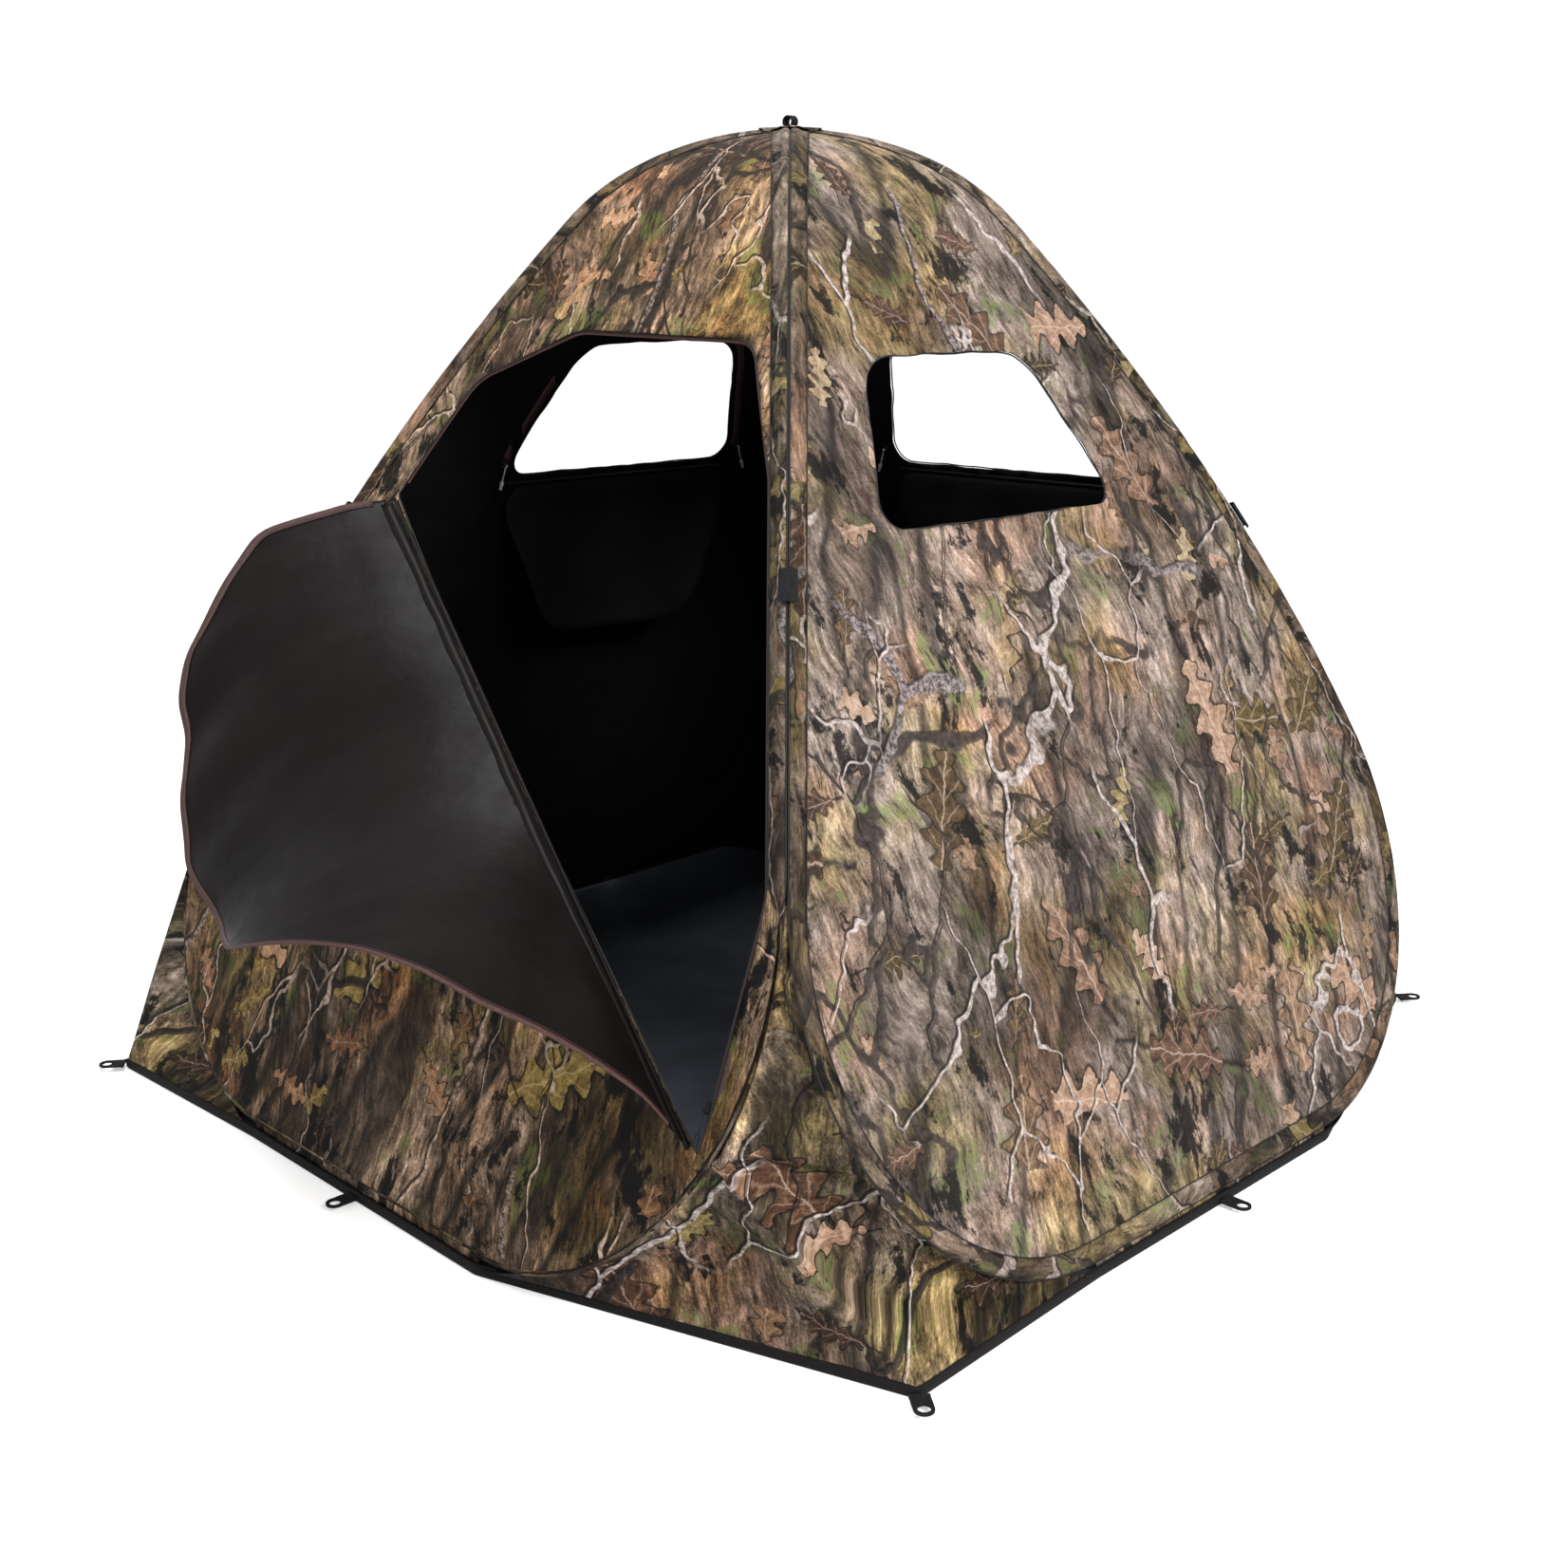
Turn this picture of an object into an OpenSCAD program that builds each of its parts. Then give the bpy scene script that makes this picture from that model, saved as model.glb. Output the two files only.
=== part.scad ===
// Pop up ground blind: four spring hoops, one in each wall, hold up a domed fabric tent.
// +Z is up, the ground is z = 0, the door wall faces -Y and the origin is the middle of the floor.
// Each wall is drawn facing +X and turned into place. On a wall, u runs along +Y and z is height.

/* [Footprint] */
// Side of the square between the corner stake loops
stake_side = 1524; // [1500:4:1548]
// Distance from the centre to the foot of a wall
foot_reach = 845; // [835:5:855]
// Angle that the pegged floor is turned from the hoops
floor_twist = 8; // [4:1:9]
// Height of the black binding round the hem
hem_height = 16; // [14:1:18]

/* [Dome] */
// Height of the crown where the hoops meet
crown_height = 1440; // [1425:5:1455]
// Lean of the lower walls from upright, in degrees
wall_lean = 21; // [20:0.5:22]
// Height at which the straight lower wall starts to curve in
straight_height = 550; // [530:10:570]
// Lean at which the tight curve of the crown starts
crown_lean = 34; // [33:0.5:36]
// Radius of a hoop's lower corners
hoop_corner = 375; // [365:5:385]

/* [Fabric and hoops] */
// Thickness of the coated wall fabric with its seams
fabric = 1.5; // [1.2:0.1:1.8]
// Width of the flat spring steel in a hoop
steel_width = 5; // [4:0.5:5]
// Thickness of the flat spring steel in a hoop
steel_thick = 1.6; // [1.2:0.1:1.8]
// Outside radius of the sleeve round a hoop
sleeve_radius = 5.6; // [5.4:0.1:5.8]

/* [Windows] */
// Height of a window's sill
sill_height = 915; // [900:5:925]
// Height of a window opening
window_height = 215; // [200:5:220]
// Half of a window's width at the sill
sill_half = 255; // [240:5:265]
// Half of a window's width at the top
window_top_half = 165; // [155:5:175]
// Distance a window sits to one side of its wall's middle
window_shift = -50; // [-60:5:-40]
// Angle a window flap swings from hanging to closed
window_swing = 150; // [150:1:152]

/* [Door] */
// Angle the lower part of the door flap is folded out
door_fold_low = 104; // [100:2:120]
// Angle the upper part of the door flap is folded out
door_fold_high = 166; // [156:1:168]
// Gap between the door opening's edge and the flap's edge
door_gap = 12; // [11:0.5:14]

/* [Stake loops] */
// Radius of the hole for the stake
stake_hole = 8; // [6:0.5:9]
// Width of the loop's webbing
loop_width = 25; // [24:1:30]

/* [Hidden] */

camo = [0.36, 0.32, 0.24];
black = [0.06, 0.06, 0.07];
coating = [0.17, 0.16, 0.17];
zip_brown = [0.27, 0.15, 0.13];
steel = [0.55, 0.56, 0.58];

// Turn of each wall about Z from the drawn one, which faces +X
right_turn = 0;
back_turn = 90;
left_turn = 180;
door_turn = -90;

// ---- Section of a wall: a straight lean, a slow curve and the tight curve of the crown ----

bend_start = foot_reach - tan(wall_lean) * straight_height;
cos_change = cos(wall_lean) - cos(crown_lean);
sin_change = sin(crown_lean) - sin(wall_lean);
crown_share = (1 - sin(crown_lean)) / cos(crown_lean);
curve_radius = (crown_height - straight_height - crown_share * bend_start)
             / (sin_change - crown_share * cos_change);
crown_radius = (bend_start - curve_radius * cos_change) / cos(crown_lean);
curve_centre = [bend_start - curve_radius * cos(wall_lean),
                straight_height - curve_radius * sin(wall_lean)];
crown_centre = [0, crown_height - crown_radius];
crown_start = curve_centre[1] + curve_radius * sin(crown_lean);
far = 2 * foot_reach;

// Distance of the wall from the centre at height z
function reach(z) =
    z <= straight_height ? foot_reach - tan(wall_lean) * z :
    z <= crown_start ? curve_centre[0] + sqrt(pow(curve_radius, 2) - pow(z - curve_centre[1], 2)) :
    sqrt(max(0, pow(crown_radius, 2) - pow(z - crown_centre[1], 2)));

// Lean of the wall from upright at height z
function lean_at(z) =
    z <= straight_height ? wall_lean :
    z <= crown_start ? asin((z - curve_centre[1]) / curve_radius) :
    asin((z - crown_centre[1]) / crown_radius);

// Points of an arc about a centre, from one angle to another
function arc(centre, radius, from, to, steps) =
    [for (i = [0:steps]) centre + radius * [cos(from + (to - from) * i / steps),
                                            sin(from + (to - from) * i / steps)]];

function unit(v) = v / norm(v);

// The same convex or gently curved outline, drawn a distance inside itself (points run anticlockwise)
function inset(points, distance) = [
    for (i = [0:len(points) - 1])
        let (here = points[i],
             before = unit(here - points[(i + len(points) - 1) % len(points)]),
             after = unit(points[(i + 1) % len(points)] - here),
             normal_before = [-before[1], before[0]],
             normal_after = [-after[1], after[0]])
        here + distance * (normal_before + normal_after) / (1 + normal_before * normal_after)
];

// An outline with each corner rounded by its own radius
function rounded(points, radii, steps) = [
    for (i = [0:len(points) - 1])
        let (here = points[i],
             to_last = unit(points[(i + len(points) - 1) % len(points)] - here),
             to_next = unit(points[(i + 1) % len(points)] - here),
             half = acos(to_last * to_next) / 2,
             middle = here + unit(to_last + to_next) * radii[i] / sin(half),
             start = here + to_last * radii[i] / tan(half) - middle,
             sweep = 180 - 2 * half,
             first = atan2(start[1], start[0]))
        each arc(middle, radii[i], first, first + sweep, steps)
];

// Everything inside the wall's section, at a depth below its outer face
module section_inside(depth) {
    foot = [foot_reach - depth / cos(wall_lean), 0];
    slow_bend = arc(curve_centre, curve_radius - depth, wall_lean, crown_lean, 12);
    tight_bend = arc(crown_centre, crown_radius - depth, crown_lean, 90, 14);
    polygon(concat([[0, 0], foot], slow_bend, [for (i = [1:14]) tight_bend[i]]));
}

// A curved skin across the whole wall, between two depths below its outer face
module skin(outer_depth, inner_depth) {
    rotate([90, 0, 0])
        linear_extrude(height = far, center = true)
            difference() {
                section_inside(outer_depth);
                section_inside(inner_depth);
            }
}

// A cutter through the wall, whose outline is given in u and z
module through_wall(points) {
    rotate([90, 0, 90]) linear_extrude(height = far) polygon(points);
}

// A point on the wall at a depth below its face, with x out from the middle and y along u
function below_face(u, z, depth) =
    [reach(z) - depth * cos(lean_at(z)), u, z - depth * sin(lean_at(z))];

// ---- Path of a hoop ----

seam_clearance = 0.4;
panel_clearance = 0.6;
seam_offset = (sleeve_radius + seam_clearance) * sqrt(2);
hoop_bottom = hem_height + sleeve_radius + 2.4;
corner_height = hoop_bottom + hoop_corner;
split_height = corner_height + hoop_corner * sin(wall_lean);
corner_u = reach(split_height) - seam_offset - hoop_corner * cos(wall_lean);
tip_radius = 45;
tip_start = seam_offset + tip_radius / sqrt(2);
tip_centre = seam_offset + tip_radius * sqrt(2);

// Height of the wall's face at a distance from the centre
function height_at(x) =
    x >= bend_start ? (foot_reach - x) / tan(wall_lean) :
    x >= crown_radius * cos(crown_lean)
        ? curve_centre[1] + sqrt(pow(curve_radius, 2) - pow(x - curve_centre[0], 2)) :
    crown_centre[1] + sqrt(pow(crown_radius, 2) - x * x);

function on_face(u, z) = [reach(z), u, z];
function on_seam(x) = [x, x - seam_offset, height_at(x)];
function mirrored(p) = [p[0], -p[1], p[2]];

corner_steps = 9;
corner_path = [for (p = arc([corner_u, corner_height], hoop_corner, -90, wall_lean, corner_steps))
    on_face(p[0], p[1])];
slow_path = [for (a = [wall_lean : (crown_lean - wall_lean) / 4 : crown_lean])
    on_seam(curve_centre[0] + curve_radius * cos(a))];
tight_end = acos(tip_start / crown_radius);
tight_path = [for (i = [1:5]) on_seam(crown_radius * cos(crown_lean + (tight_end - crown_lean) * i / 5))];
half_path = concat(corner_path, slow_path, tight_path);
tip_path = [for (p = arc([tip_centre, 0], tip_radius, 157.5, 202.5, 2)) [p[0], p[1], height_at(p[0])]];
hoop_path = concat(half_path, tip_path,
                   [for (i = [len(half_path) - 1:-1:0]) mirrored(half_path[i])]);

// A closed loop of one outline swept along a path; the outline's first axis points out of the wall
module swept_loop(path, outline) {
    stations = len(path);
    sides = len(outline);
    points = [
        for (i = [0:stations - 1])
            let (along = unit(path[(i + 1) % stations] - path[(i + stations - 1) % stations]),
                 across = unit(cross(along, [1, 0, 0])),
                 out = cross(across, along))
            for (p = outline) path[i] + p[0] * out + p[1] * across
    ];
    faces = [
        for (i = [0:stations - 1])
            for (j = [0:sides - 1])
                let (next = (i + 1) % stations, k = (j + 1) % sides)
                each [[i * sides + j, next * sides + j, i * sides + k],
                      [i * sides + k, next * sides + j, next * sides + k]]
    ];
    polyhedron(points, faces);
}

module hoop(turn) {
    half = [steel_thick / 2, steel_width / 2];
    color(steel) rotate(turn)
        swept_loop(hoop_path, [half, [-half[0], half[1]], -half, [half[0], -half[1]]]);
}

// The sleeve is a folded strip, open towards the panel that it is sewn to
module sleeve(turn) {
    sleeve_wall = 1;
    ring = [for (a = [-60:50:240]) [cos(a), sin(a)]];
    outline = concat([for (p = ring) sleeve_radius * p],
                     [for (i = [len(ring) - 1:-1:0]) (sleeve_radius - sleeve_wall) * ring[i]]);
    color(camo) rotate(turn) swept_loop(hoop_path, outline);
}

module hoop_ferrules() {
    ferrule_length = 45;
    for (turn = [right_turn, back_turn, left_turn, door_turn])
        color("silver") rotate(turn)
            translate([reach(hoop_bottom), ferrule_length / 2, hoop_bottom])
                rotate([90, 0, 0])
                    difference() {
                        cylinder(r = 3.8, h = ferrule_length, $fn = 48);
                        translate([0, 0, -1]) cylinder(r = 2.9, h = ferrule_length + 2, $fn = 48);
                    }
}

// ---- Wall panels ----

panel_inset = sleeve_radius + panel_clearance;
panel_mitre = (sleeve_radius + seam_clearance + panel_inset) * sqrt(2);
panel_tip_radius = tip_radius - panel_inset - 1.5;

// A wall's fabric, inside its own hoop
module panel() {
    radius = hoop_corner - panel_inset;
    lower_edge = concat(arc([-corner_u, corner_height], radius, 180 - wall_lean, 270, corner_steps),
                        arc([corner_u, corner_height], radius, -90, wall_lean, corner_steps));
    top_right = lower_edge[len(lower_edge) - 1] + far * [-sin(wall_lean), cos(wall_lean)];
    intersection() {
        skin(0, fabric);
        through_wall(concat(lower_edge, [top_right, [-top_right[0], top_right[1]]]));
        linear_extrude(height = far)
            polygon(concat([[far + panel_mitre, far]],
                           arc([tip_centre, 0], panel_tip_radius, 135, 225, 4),
                           [[far + panel_mitre, -far]]));
    }
}

// ---- Windows ----

window_points = [[window_shift - sill_half, sill_height], [window_shift + sill_half, sill_height],
                 [window_shift + window_top_half, sill_height + window_height],
                 [window_shift - window_top_half, sill_height + window_height]];
window_outline = rounded(window_points, [30, 30, 75, 75], 8);

module window_wall(turn) {
    color(camo) rotate(turn)
        difference() {
            panel();
            through_wall(window_outline);
        }
}

// The hinge line of a window flap runs along the sill, inside the wall
hinge_drop = 12;
hinge_depth = 6;
cord_radius = 2.5;
hinge_z = sill_height - hinge_drop;
hinge_point = below_face(0, hinge_z, hinge_depth);

module window_hinge_cords() {
    cord_half = sill_half - 10;
    for (turn = [right_turn, back_turn, left_turn])
        color(black) rotate(turn)
            translate(hinge_point + [0, window_shift + cord_half, 0])
                rotate([90, 0, 0]) cylinder(r = cord_radius, h = 2 * cord_half, $fn = 32);
}

// The flap closes against the inside of the wall and hangs straight down when it is open
module window_flap(turn) {
    overlap = 8;
    flap_sill = hinge_z + cord_radius + 2;
    points = inset(window_outline, -overlap);
    color(coating) rotate(turn)
        translate(hinge_point) rotate([0, -window_swing, 0]) translate(-hinge_point)
            intersection() {
                skin(hinge_depth - fabric / 2, hinge_depth + fabric / 2);
                through_wall(points);
                through_wall([[-far, flap_sill], [far, flap_sill], [far, far], [-far, far]]);
            }
}

// The zipper tape runs up both sides and over the top, on the wall's inner face
module window_zipper(turn) {
    tape_top = fabric + 0.4;
    tape_foot = sill_height + 12;
    color(zip_brown) rotate(turn)
        intersection() {
            skin(tape_top, tape_top + 1);
            difference() {
                through_wall(inset(window_outline, -24));
                through_wall(inset(window_outline, -10));
            }
            through_wall([[-far, tape_foot], [far, tape_foot], [far, far], [-far, far]]);
        }
}

// The sides of a window lean in: this is their angle on the wall, measured up the slope
side_rise = window_height / cos(lean_at(sill_height + window_height / 2));
side_angle = atan((sill_half - window_top_half) / side_rise);
slider_height = 24;
slider_offset = 17;
slider_run = 90;

// Puts children on the zipper line of a window's side: side is 1 or -1, z points along the tape
module at_slider(turn, side) {
    z = sill_height + slider_height;
    u = window_shift + side * (sill_half + slider_offset
        - (sill_half - window_top_half) * slider_height / window_height);
    depth = fabric + 2.6;
    lean = lean_at(z + slider_run / 2);
    rotate(turn) translate(below_face(u, z, depth))
        rotate([0, -lean, 0]) rotate([side * side_angle, 0, 0]) children();
}

// A zip slider of half-width nose to tail, with two cheeks and the pin that carries the pull
pin_radius = 1.2;
pin_stand = 7.6;
module slider_body(nose, tail) {
    cheek = 1.5;
    cheek_from = 2;
    rotate([0, -90, 0])
        linear_extrude(height = 4)
            polygon(rounded([[-8, -tail], [8, -nose], [8, nose], [-8, tail]],
                            [1.5, 1.5, 1.5, 1.5], 5));
    for (side = [-1, 1])
        translate([-pin_stand - pin_radius - 0.6, side * (cheek_from + cheek / 2) - cheek / 2, -4])
            cube([pin_stand + pin_radius - 3, cheek, 4]);
    translate([-pin_stand, cheek_from + cheek / 2, -2])
        rotate([90, 0, 0]) cylinder(r = pin_radius, h = 2 * cheek_from + cheek, $fn = 32);
}

module window_slider(turn, side) {
    color(black) at_slider(turn, side) slider_body(5, 3.6);
}

// The pull is a cord with a small toggle; its eye runs on the slider's pin
module pull_body(length) {
    eye_clearance = 0.05;
    rotate([90, 0, 0])
        difference() {
            cylinder(r = 2.8, h = 3, center = true, $fn = 32);
            cylinder(r = pin_radius + eye_clearance, h = 4, center = true, $fn = 32);
        }
    translate([0, 0, 2 - length]) cylinder(r = 1.1, h = length - 4.5, $fn = 24);
    translate([0, 0, -length]) cylinder(r1 = 2.2, r2 = 3.4, h = 14, $fn = 24);
}

// Inside the leaning wall a pull hangs away from it, by about the wall's lean
pull_hang = 25;

module window_pull(turn, side) {
    color("gainsboro") at_slider(turn, side)
        translate([-pin_stand, 0, -2]) rotate([0, pull_hang, 0]) pull_body(40);
}

// ---- Door ----

// Ends of the door's hinge line, on the wall's outline in u and z
hinge_top = [-371, 914];
hinge_low = [606, 250];
door_edge = 34;
door_outline = concat(
    [hinge_low],
    [for (z = [480:60:1020]) [min(hinge_low[0], reach(z) - door_edge), z]],
    rounded_part([reach(1020) - door_edge, 1020], [275, 1152], [-90, 1158], 60),
    rounded_part([275, 1152], [-90, 1158], [-285, 1085], 90),
    rounded_part([-90, 1158], [-285, 1085], hinge_top, 70),
    [hinge_top]);

// One rounded corner, at the middle one of three points
function rounded_part(last, here, next, radius) =
    let (to_last = unit(last - here),
         to_next = unit(next - here),
         half = acos(to_last * to_next) / 2,
         middle = here + unit(to_last + to_next) * radius / sin(half),
         start = here + to_last * radius / tan(half) - middle,
         first = atan2(start[1], start[0]))
    arc(middle, radius, first, first + 180 - 2 * half, 5);

// The hinge line in the door wall's own frame; a straight line, it stands clear of the wall's curve
door_hinge_stand = 13;
function hinge_end(p) = [reach(p[1]) + door_hinge_stand, p[0], p[1]];
hinge_from = hinge_end(hinge_low);
hinge_to = hinge_end(hinge_top);
hinge_along = unit(hinge_to - hinge_from);
hinge_length = norm(hinge_to - hinge_from);

// The same line seen flat in u and z, and the direction across it towards the flap
hinge_flat = unit(hinge_top - hinge_low);
hinge_side = [hinge_flat[1], -hinge_flat[0]];

// The wall's edge is cut back a little from the hinge cord
module door_wall() {
    cord_room = cord_radius + 0.7;
    color(camo) rotate(door_turn)
        difference() {
            panel();
            through_wall(door_outline);
            through_wall([hinge_low, hinge_top, hinge_top - cord_room * hinge_side,
                          hinge_low - cord_room * hinge_side]);
        }
}

// Stands children up so that their z runs along the hinge line from its lower end
module along_hinge() {
    translate(hinge_from)
        rotate([0, acos(hinge_along[2]), atan2(hinge_along[1], hinge_along[0])]) children();
}

// The cord runs in the edge of a tape that fills the gap between the straight line and the wall
module door_hinge_cord() {
    end_gap = 14;
    tape_thick = 1.2;
    run = norm(hinge_top - hinge_low);
    tape_gap = end_gap + 4;
    stations = [for (i = [0:8]) tape_gap + (run - 2 * tape_gap) * i / 8];
    cord_edge = [for (t = stations)
        [t, hinge_from[0] + (hinge_to[0] - hinge_from[0]) * t / run]];
    wall_edge = [for (i = [len(stations) - 1:-1:0])
        let (t = stations[i], z = hinge_low[1] + t * hinge_flat[1])
        [t, reach(z) - fabric / cos(lean_at(z))]];
    color(black) rotate(door_turn) {
        along_hinge() translate([0, 0, end_gap])
            cylinder(r = cord_radius, h = hinge_length - 2 * end_gap, $fn = 32);
        rotate([90, 0, 90]) translate([hinge_low[0], hinge_low[1], 0])
            rotate([90, 0, atan2(hinge_flat[1], hinge_flat[0])])
                linear_extrude(height = tape_thick, center = true)
                    polygon(concat(cord_edge, wall_edge));
    }
}

// Turns the closed door flap about its hinge line
module folded(angle) {
    rotate(door_turn)
        translate(hinge_from) rotate(a = -angle, v = hinge_along) translate(-hinge_from)
            children();
}

// The part of the door between two distances along the hinge line, clear of the hinge cord
function door_zone(from, to, clear) = [
    hinge_low + from * hinge_flat + clear * hinge_side,
    hinge_low + from * hinge_flat + far * hinge_side,
    hinge_low + to * hinge_flat + far * hinge_side,
    hinge_low + to * hinge_flat + clear * hinge_side];

flap_split = 570;
split_gap = 3;
flap_clear = 5;

module door_flap(from, to) {
    intersection() {
        skin(0, fabric);
        through_wall(inset(door_outline, door_gap));
        through_wall(door_zone(from, to, flap_clear));
    }
}

module door_flap_lower() {
    color(coating) folded(door_fold_low) door_flap(-far, flap_split);
}

module door_flap_upper() {
    color(coating) folded(door_fold_high) door_flap(flap_split + split_gap, far);
}

// Zipper tape: a thin band between two insets of the door's outline, below the fabric
module zip_band(from_inset, to_inset, zone) {
    tape_top = fabric + 0.4;
    intersection() {
        skin(tape_top, tape_top + 1);
        difference() {
            through_wall(inset(door_outline, from_inset));
            through_wall(inset(door_outline, to_inset));
        }
        through_wall(zone);
    }
}

module door_zipper() {
    color(zip_brown) rotate(door_turn) zip_band(-9, 4, door_zone(-far, far, 18));
}

module flap_zipper_lower() {
    color(zip_brown) folded(door_fold_low)
        zip_band(door_gap - 2, door_gap + 11, door_zone(-far, flap_split, 26));
}

module flap_zipper_upper() {
    color(zip_brown) folded(door_fold_high)
        zip_band(door_gap - 2, door_gap + 11, door_zone(flap_split + split_gap, far, 26));
}

// The slider stands at the foot of the door's straight side
door_slider_z = 300;

module at_door_slider() {
    slider_inset = 4.5;
    rotate(door_turn)
        translate(below_face(hinge_low[0] - slider_inset, door_slider_z, fabric))
            rotate([0, -wall_lean, 0]) mirror([1, 0, 0]) children();
}

module door_zip_slider() {
    color(black) at_door_slider() slider_body(3, 2.6);
}

module door_zip_pull() {
    color(black) at_door_slider() translate([-pin_stand, 0, -2]) pull_body(45);
}

// ---- Lower corners, floor and hem ----

stake_reach = stake_side / sqrt(2);

// A corner's stake point at its own angle, turned with the floor
function stake_point(angle) =
    stake_reach * [cos(angle + floor_twist), sin(angle + floor_twist)];

// Hem outline: each wall's foot line, then the next stake corner
hem_outline = [
    for (turn = [0, 90, 180, 270])
        let (c = cos(turn), s = sin(turn))
        each [[c * foot_reach + s * corner_u, s * foot_reach - c * corner_u],
              [c * foot_reach - s * corner_u, s * foot_reach + c * corner_u],
              stake_point(turn + 45)]
];

module floor_sheet() {
    color([0.12, 0.13, 0.15]) linear_extrude(height = 1) polygon(inset(hem_outline, 6));
}

module hem_binding() {
    color(black)
        linear_extrude(height = hem_height)
            difference() {
                polygon(inset(hem_outline, -1.5));
                polygon(inset(hem_outline, 1.5));
            }
}

// The gusset fills the gap between two hoops, from where they part down to the stake point
module gusset(turn) {
    rows = 10;
    across = 3;
    radius = hoop_corner + panel_inset + 3;
    stake = stake_point(45);
    from = wall_lean - 8;
    lowest = hem_height + 1.6;
    edge = [for (i = [0:rows])
        let (angle = from - (from + 90) * i / rows)
        on_face(corner_u + radius * cos(angle), corner_height + (corner_height - lowest) * sin(angle))];
    crease_top = (edge[0][0] + edge[0][1]) / 2;
    crease_bow = 40;
    crease = [
        for (p = edge)
            let (share = (edge[0][2] - p[2]) / (edge[0][2] - lowest))
            [crease_top + share * (stake[0] - crease_top) + 4 * crease_bow * share * (1 - share),
             crease_top + pow(share, 1.5) * (stake[1] - crease_top), p[2]]
    ];
    row_points = 2 * across + 1;
    face = [
        for (i = [0:rows])
            for (j = [0:2 * across])
                let (other = [edge[i][1], edge[i][0], edge[i][2]])
                j <= across ? edge[i] + (crease[i] - edge[i]) * j / across
                            : crease[i] + (other - crease[i]) * (j - across) / across
    ];
    inward = -fabric * unit([1, 1, 0.8]);
    count = len(face);
    last = 2 * across;
    patch = [for (i = [0:rows - 1]) for (j = [0:last - 1])
        let (a = i * row_points + j, b = a + row_points)
        each [[a, a + 1, b], [a + 1, b + 1, b]]];
    under = [for (t = patch) [t[0] + count, t[2] + count, t[1] + count]];
    rim = concat([for (j = [0:last]) j],
                 [for (i = [1:rows]) i * row_points + last],
                 [for (j = [last - 1:-1:0]) rows * row_points + j],
                 [for (i = [rows - 1:-1:1]) i * row_points]);
    sides = [for (i = [0:len(rim) - 1])
        let (a = rim[i], b = rim[(i + 1) % len(rim)])
        each [[a, a + count, b], [b, a + count, b + count]]];
    color(camo) rotate(turn)
        polyhedron(concat(face, [for (p = face) p + inward]), concat(patch, under, sides));
}

// ---- Crown and seams ----

crown_top = crown_height + sleeve_radius;

module crown_patch() {
    patch_radius = 42;
    color(camo)
        translate([0, 0, crown_top + 0.5]) cylinder(r = patch_radius, h = fabric, $fn = 96);
}

module crown_tab() {
    tab_width = 22;
    tab_height = 16;
    color(black)
        translate([0, 1.5, crown_top + 0.5 + fabric + 0.3])
            rotate([90, 0, 0])
                linear_extrude(height = 3)
                    polygon(rounded([[-tab_width / 2, 0], [tab_width / 2, 0],
                                     [tab_width / 2 - 3, tab_height], [3 - tab_width / 2, tab_height]],
                                    [1, 1, 6, 6], 6));
}

// An arched webbing keeper over each seam holds the two sleeves side by side
module seam_keepers() {
    keeper_z = 870;
    keeper_length = 44;
    arch = 20;
    seam_lean = atan(tan(lean_at(keeper_z)) * sqrt(2));
    for (angle = [45, 135, 225, 315])
        color(black) rotate(angle)
            translate([reach(keeper_z) * sqrt(2), 0, keeper_z])
                rotate([0, -seam_lean, 0])
                    translate([sleeve_radius + 2 - arch, 0, -keeper_length / 2])
                        intersection() {
                            difference() {
                                cylinder(r = arch + fabric, h = keeper_length, $fn = 96);
                                translate([0, 0, -1])
                                    cylinder(r = arch, h = keeper_length + 2, $fn = 96);
                            }
                            translate([arch / 2, -12, -1])
                                cube([arch, 24, keeper_length + 2]);
                        }
}

// ---- Stake loops ----

loop_length = 38;
loop_thick = 3;
loop_height = 8;
loop_stand = 6.5;

// A webbing loop that lies on the ground, pointing +X from its hinge at the hem
module loop_body() {
    roll = 2.5;
    reach_out = loop_length - loop_width / 2;
    translate([0, loop_width / 2, 0]) rotate([90, 0, 0]) cylinder(r = roll, h = loop_width, $fn = 32);
    translate([0, 0, -loop_thick / 2])
        difference() {
            union() {
                translate([0, -loop_width / 2, 0]) cube([reach_out, loop_width, loop_thick]);
                translate([reach_out, 0, 0]) cylinder(r = loop_width / 2, h = loop_thick, $fn = 64);
            }
            translate([reach_out, 0, -1]) cylinder(r = stake_hole, h = loop_thick + 2, $fn = 64);
        }
}

module corner_loop(angle) {
    color(black) rotate(angle + floor_twist)
        translate([stake_reach + loop_stand, 0, loop_height]) loop_body();
}

module side_loop(angle) {
    color(black) rotate(angle)
        translate([foot_reach + loop_stand, 0, loop_height]) loop_body();
}

door_wall();
window_wall(right_turn);  // right_wall
window_wall(back_turn);  // back_wall
window_wall(left_turn);  // left_wall
hoop(door_turn);  // door_hoop
hoop(right_turn);  // right_hoop
hoop(back_turn);  // back_hoop
hoop(left_turn);  // left_hoop
sleeve(door_turn);  // door_sleeve
sleeve(right_turn);  // right_sleeve
sleeve(back_turn);  // back_sleeve
sleeve(left_turn);  // left_sleeve
hoop_ferrules();
seam_keepers();
crown_patch();
crown_tab();
gusset(-90);  // front_right_gusset
gusset(0);  // back_right_gusset
gusset(90);  // back_left_gusset
gusset(180);  // front_left_gusset
floor_sheet();
hem_binding();
door_flap_lower();
door_flap_upper();
door_hinge_cord();
door_zipper();
flap_zipper_lower();
flap_zipper_upper();
door_zip_slider();
door_zip_pull();
window_flap(right_turn);  // right_window_flap
window_flap(back_turn);  // back_window_flap
window_flap(left_turn);  // left_window_flap
window_hinge_cords();
window_zipper(right_turn);  // right_window_zipper
window_zipper(back_turn);  // back_window_zipper
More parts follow.
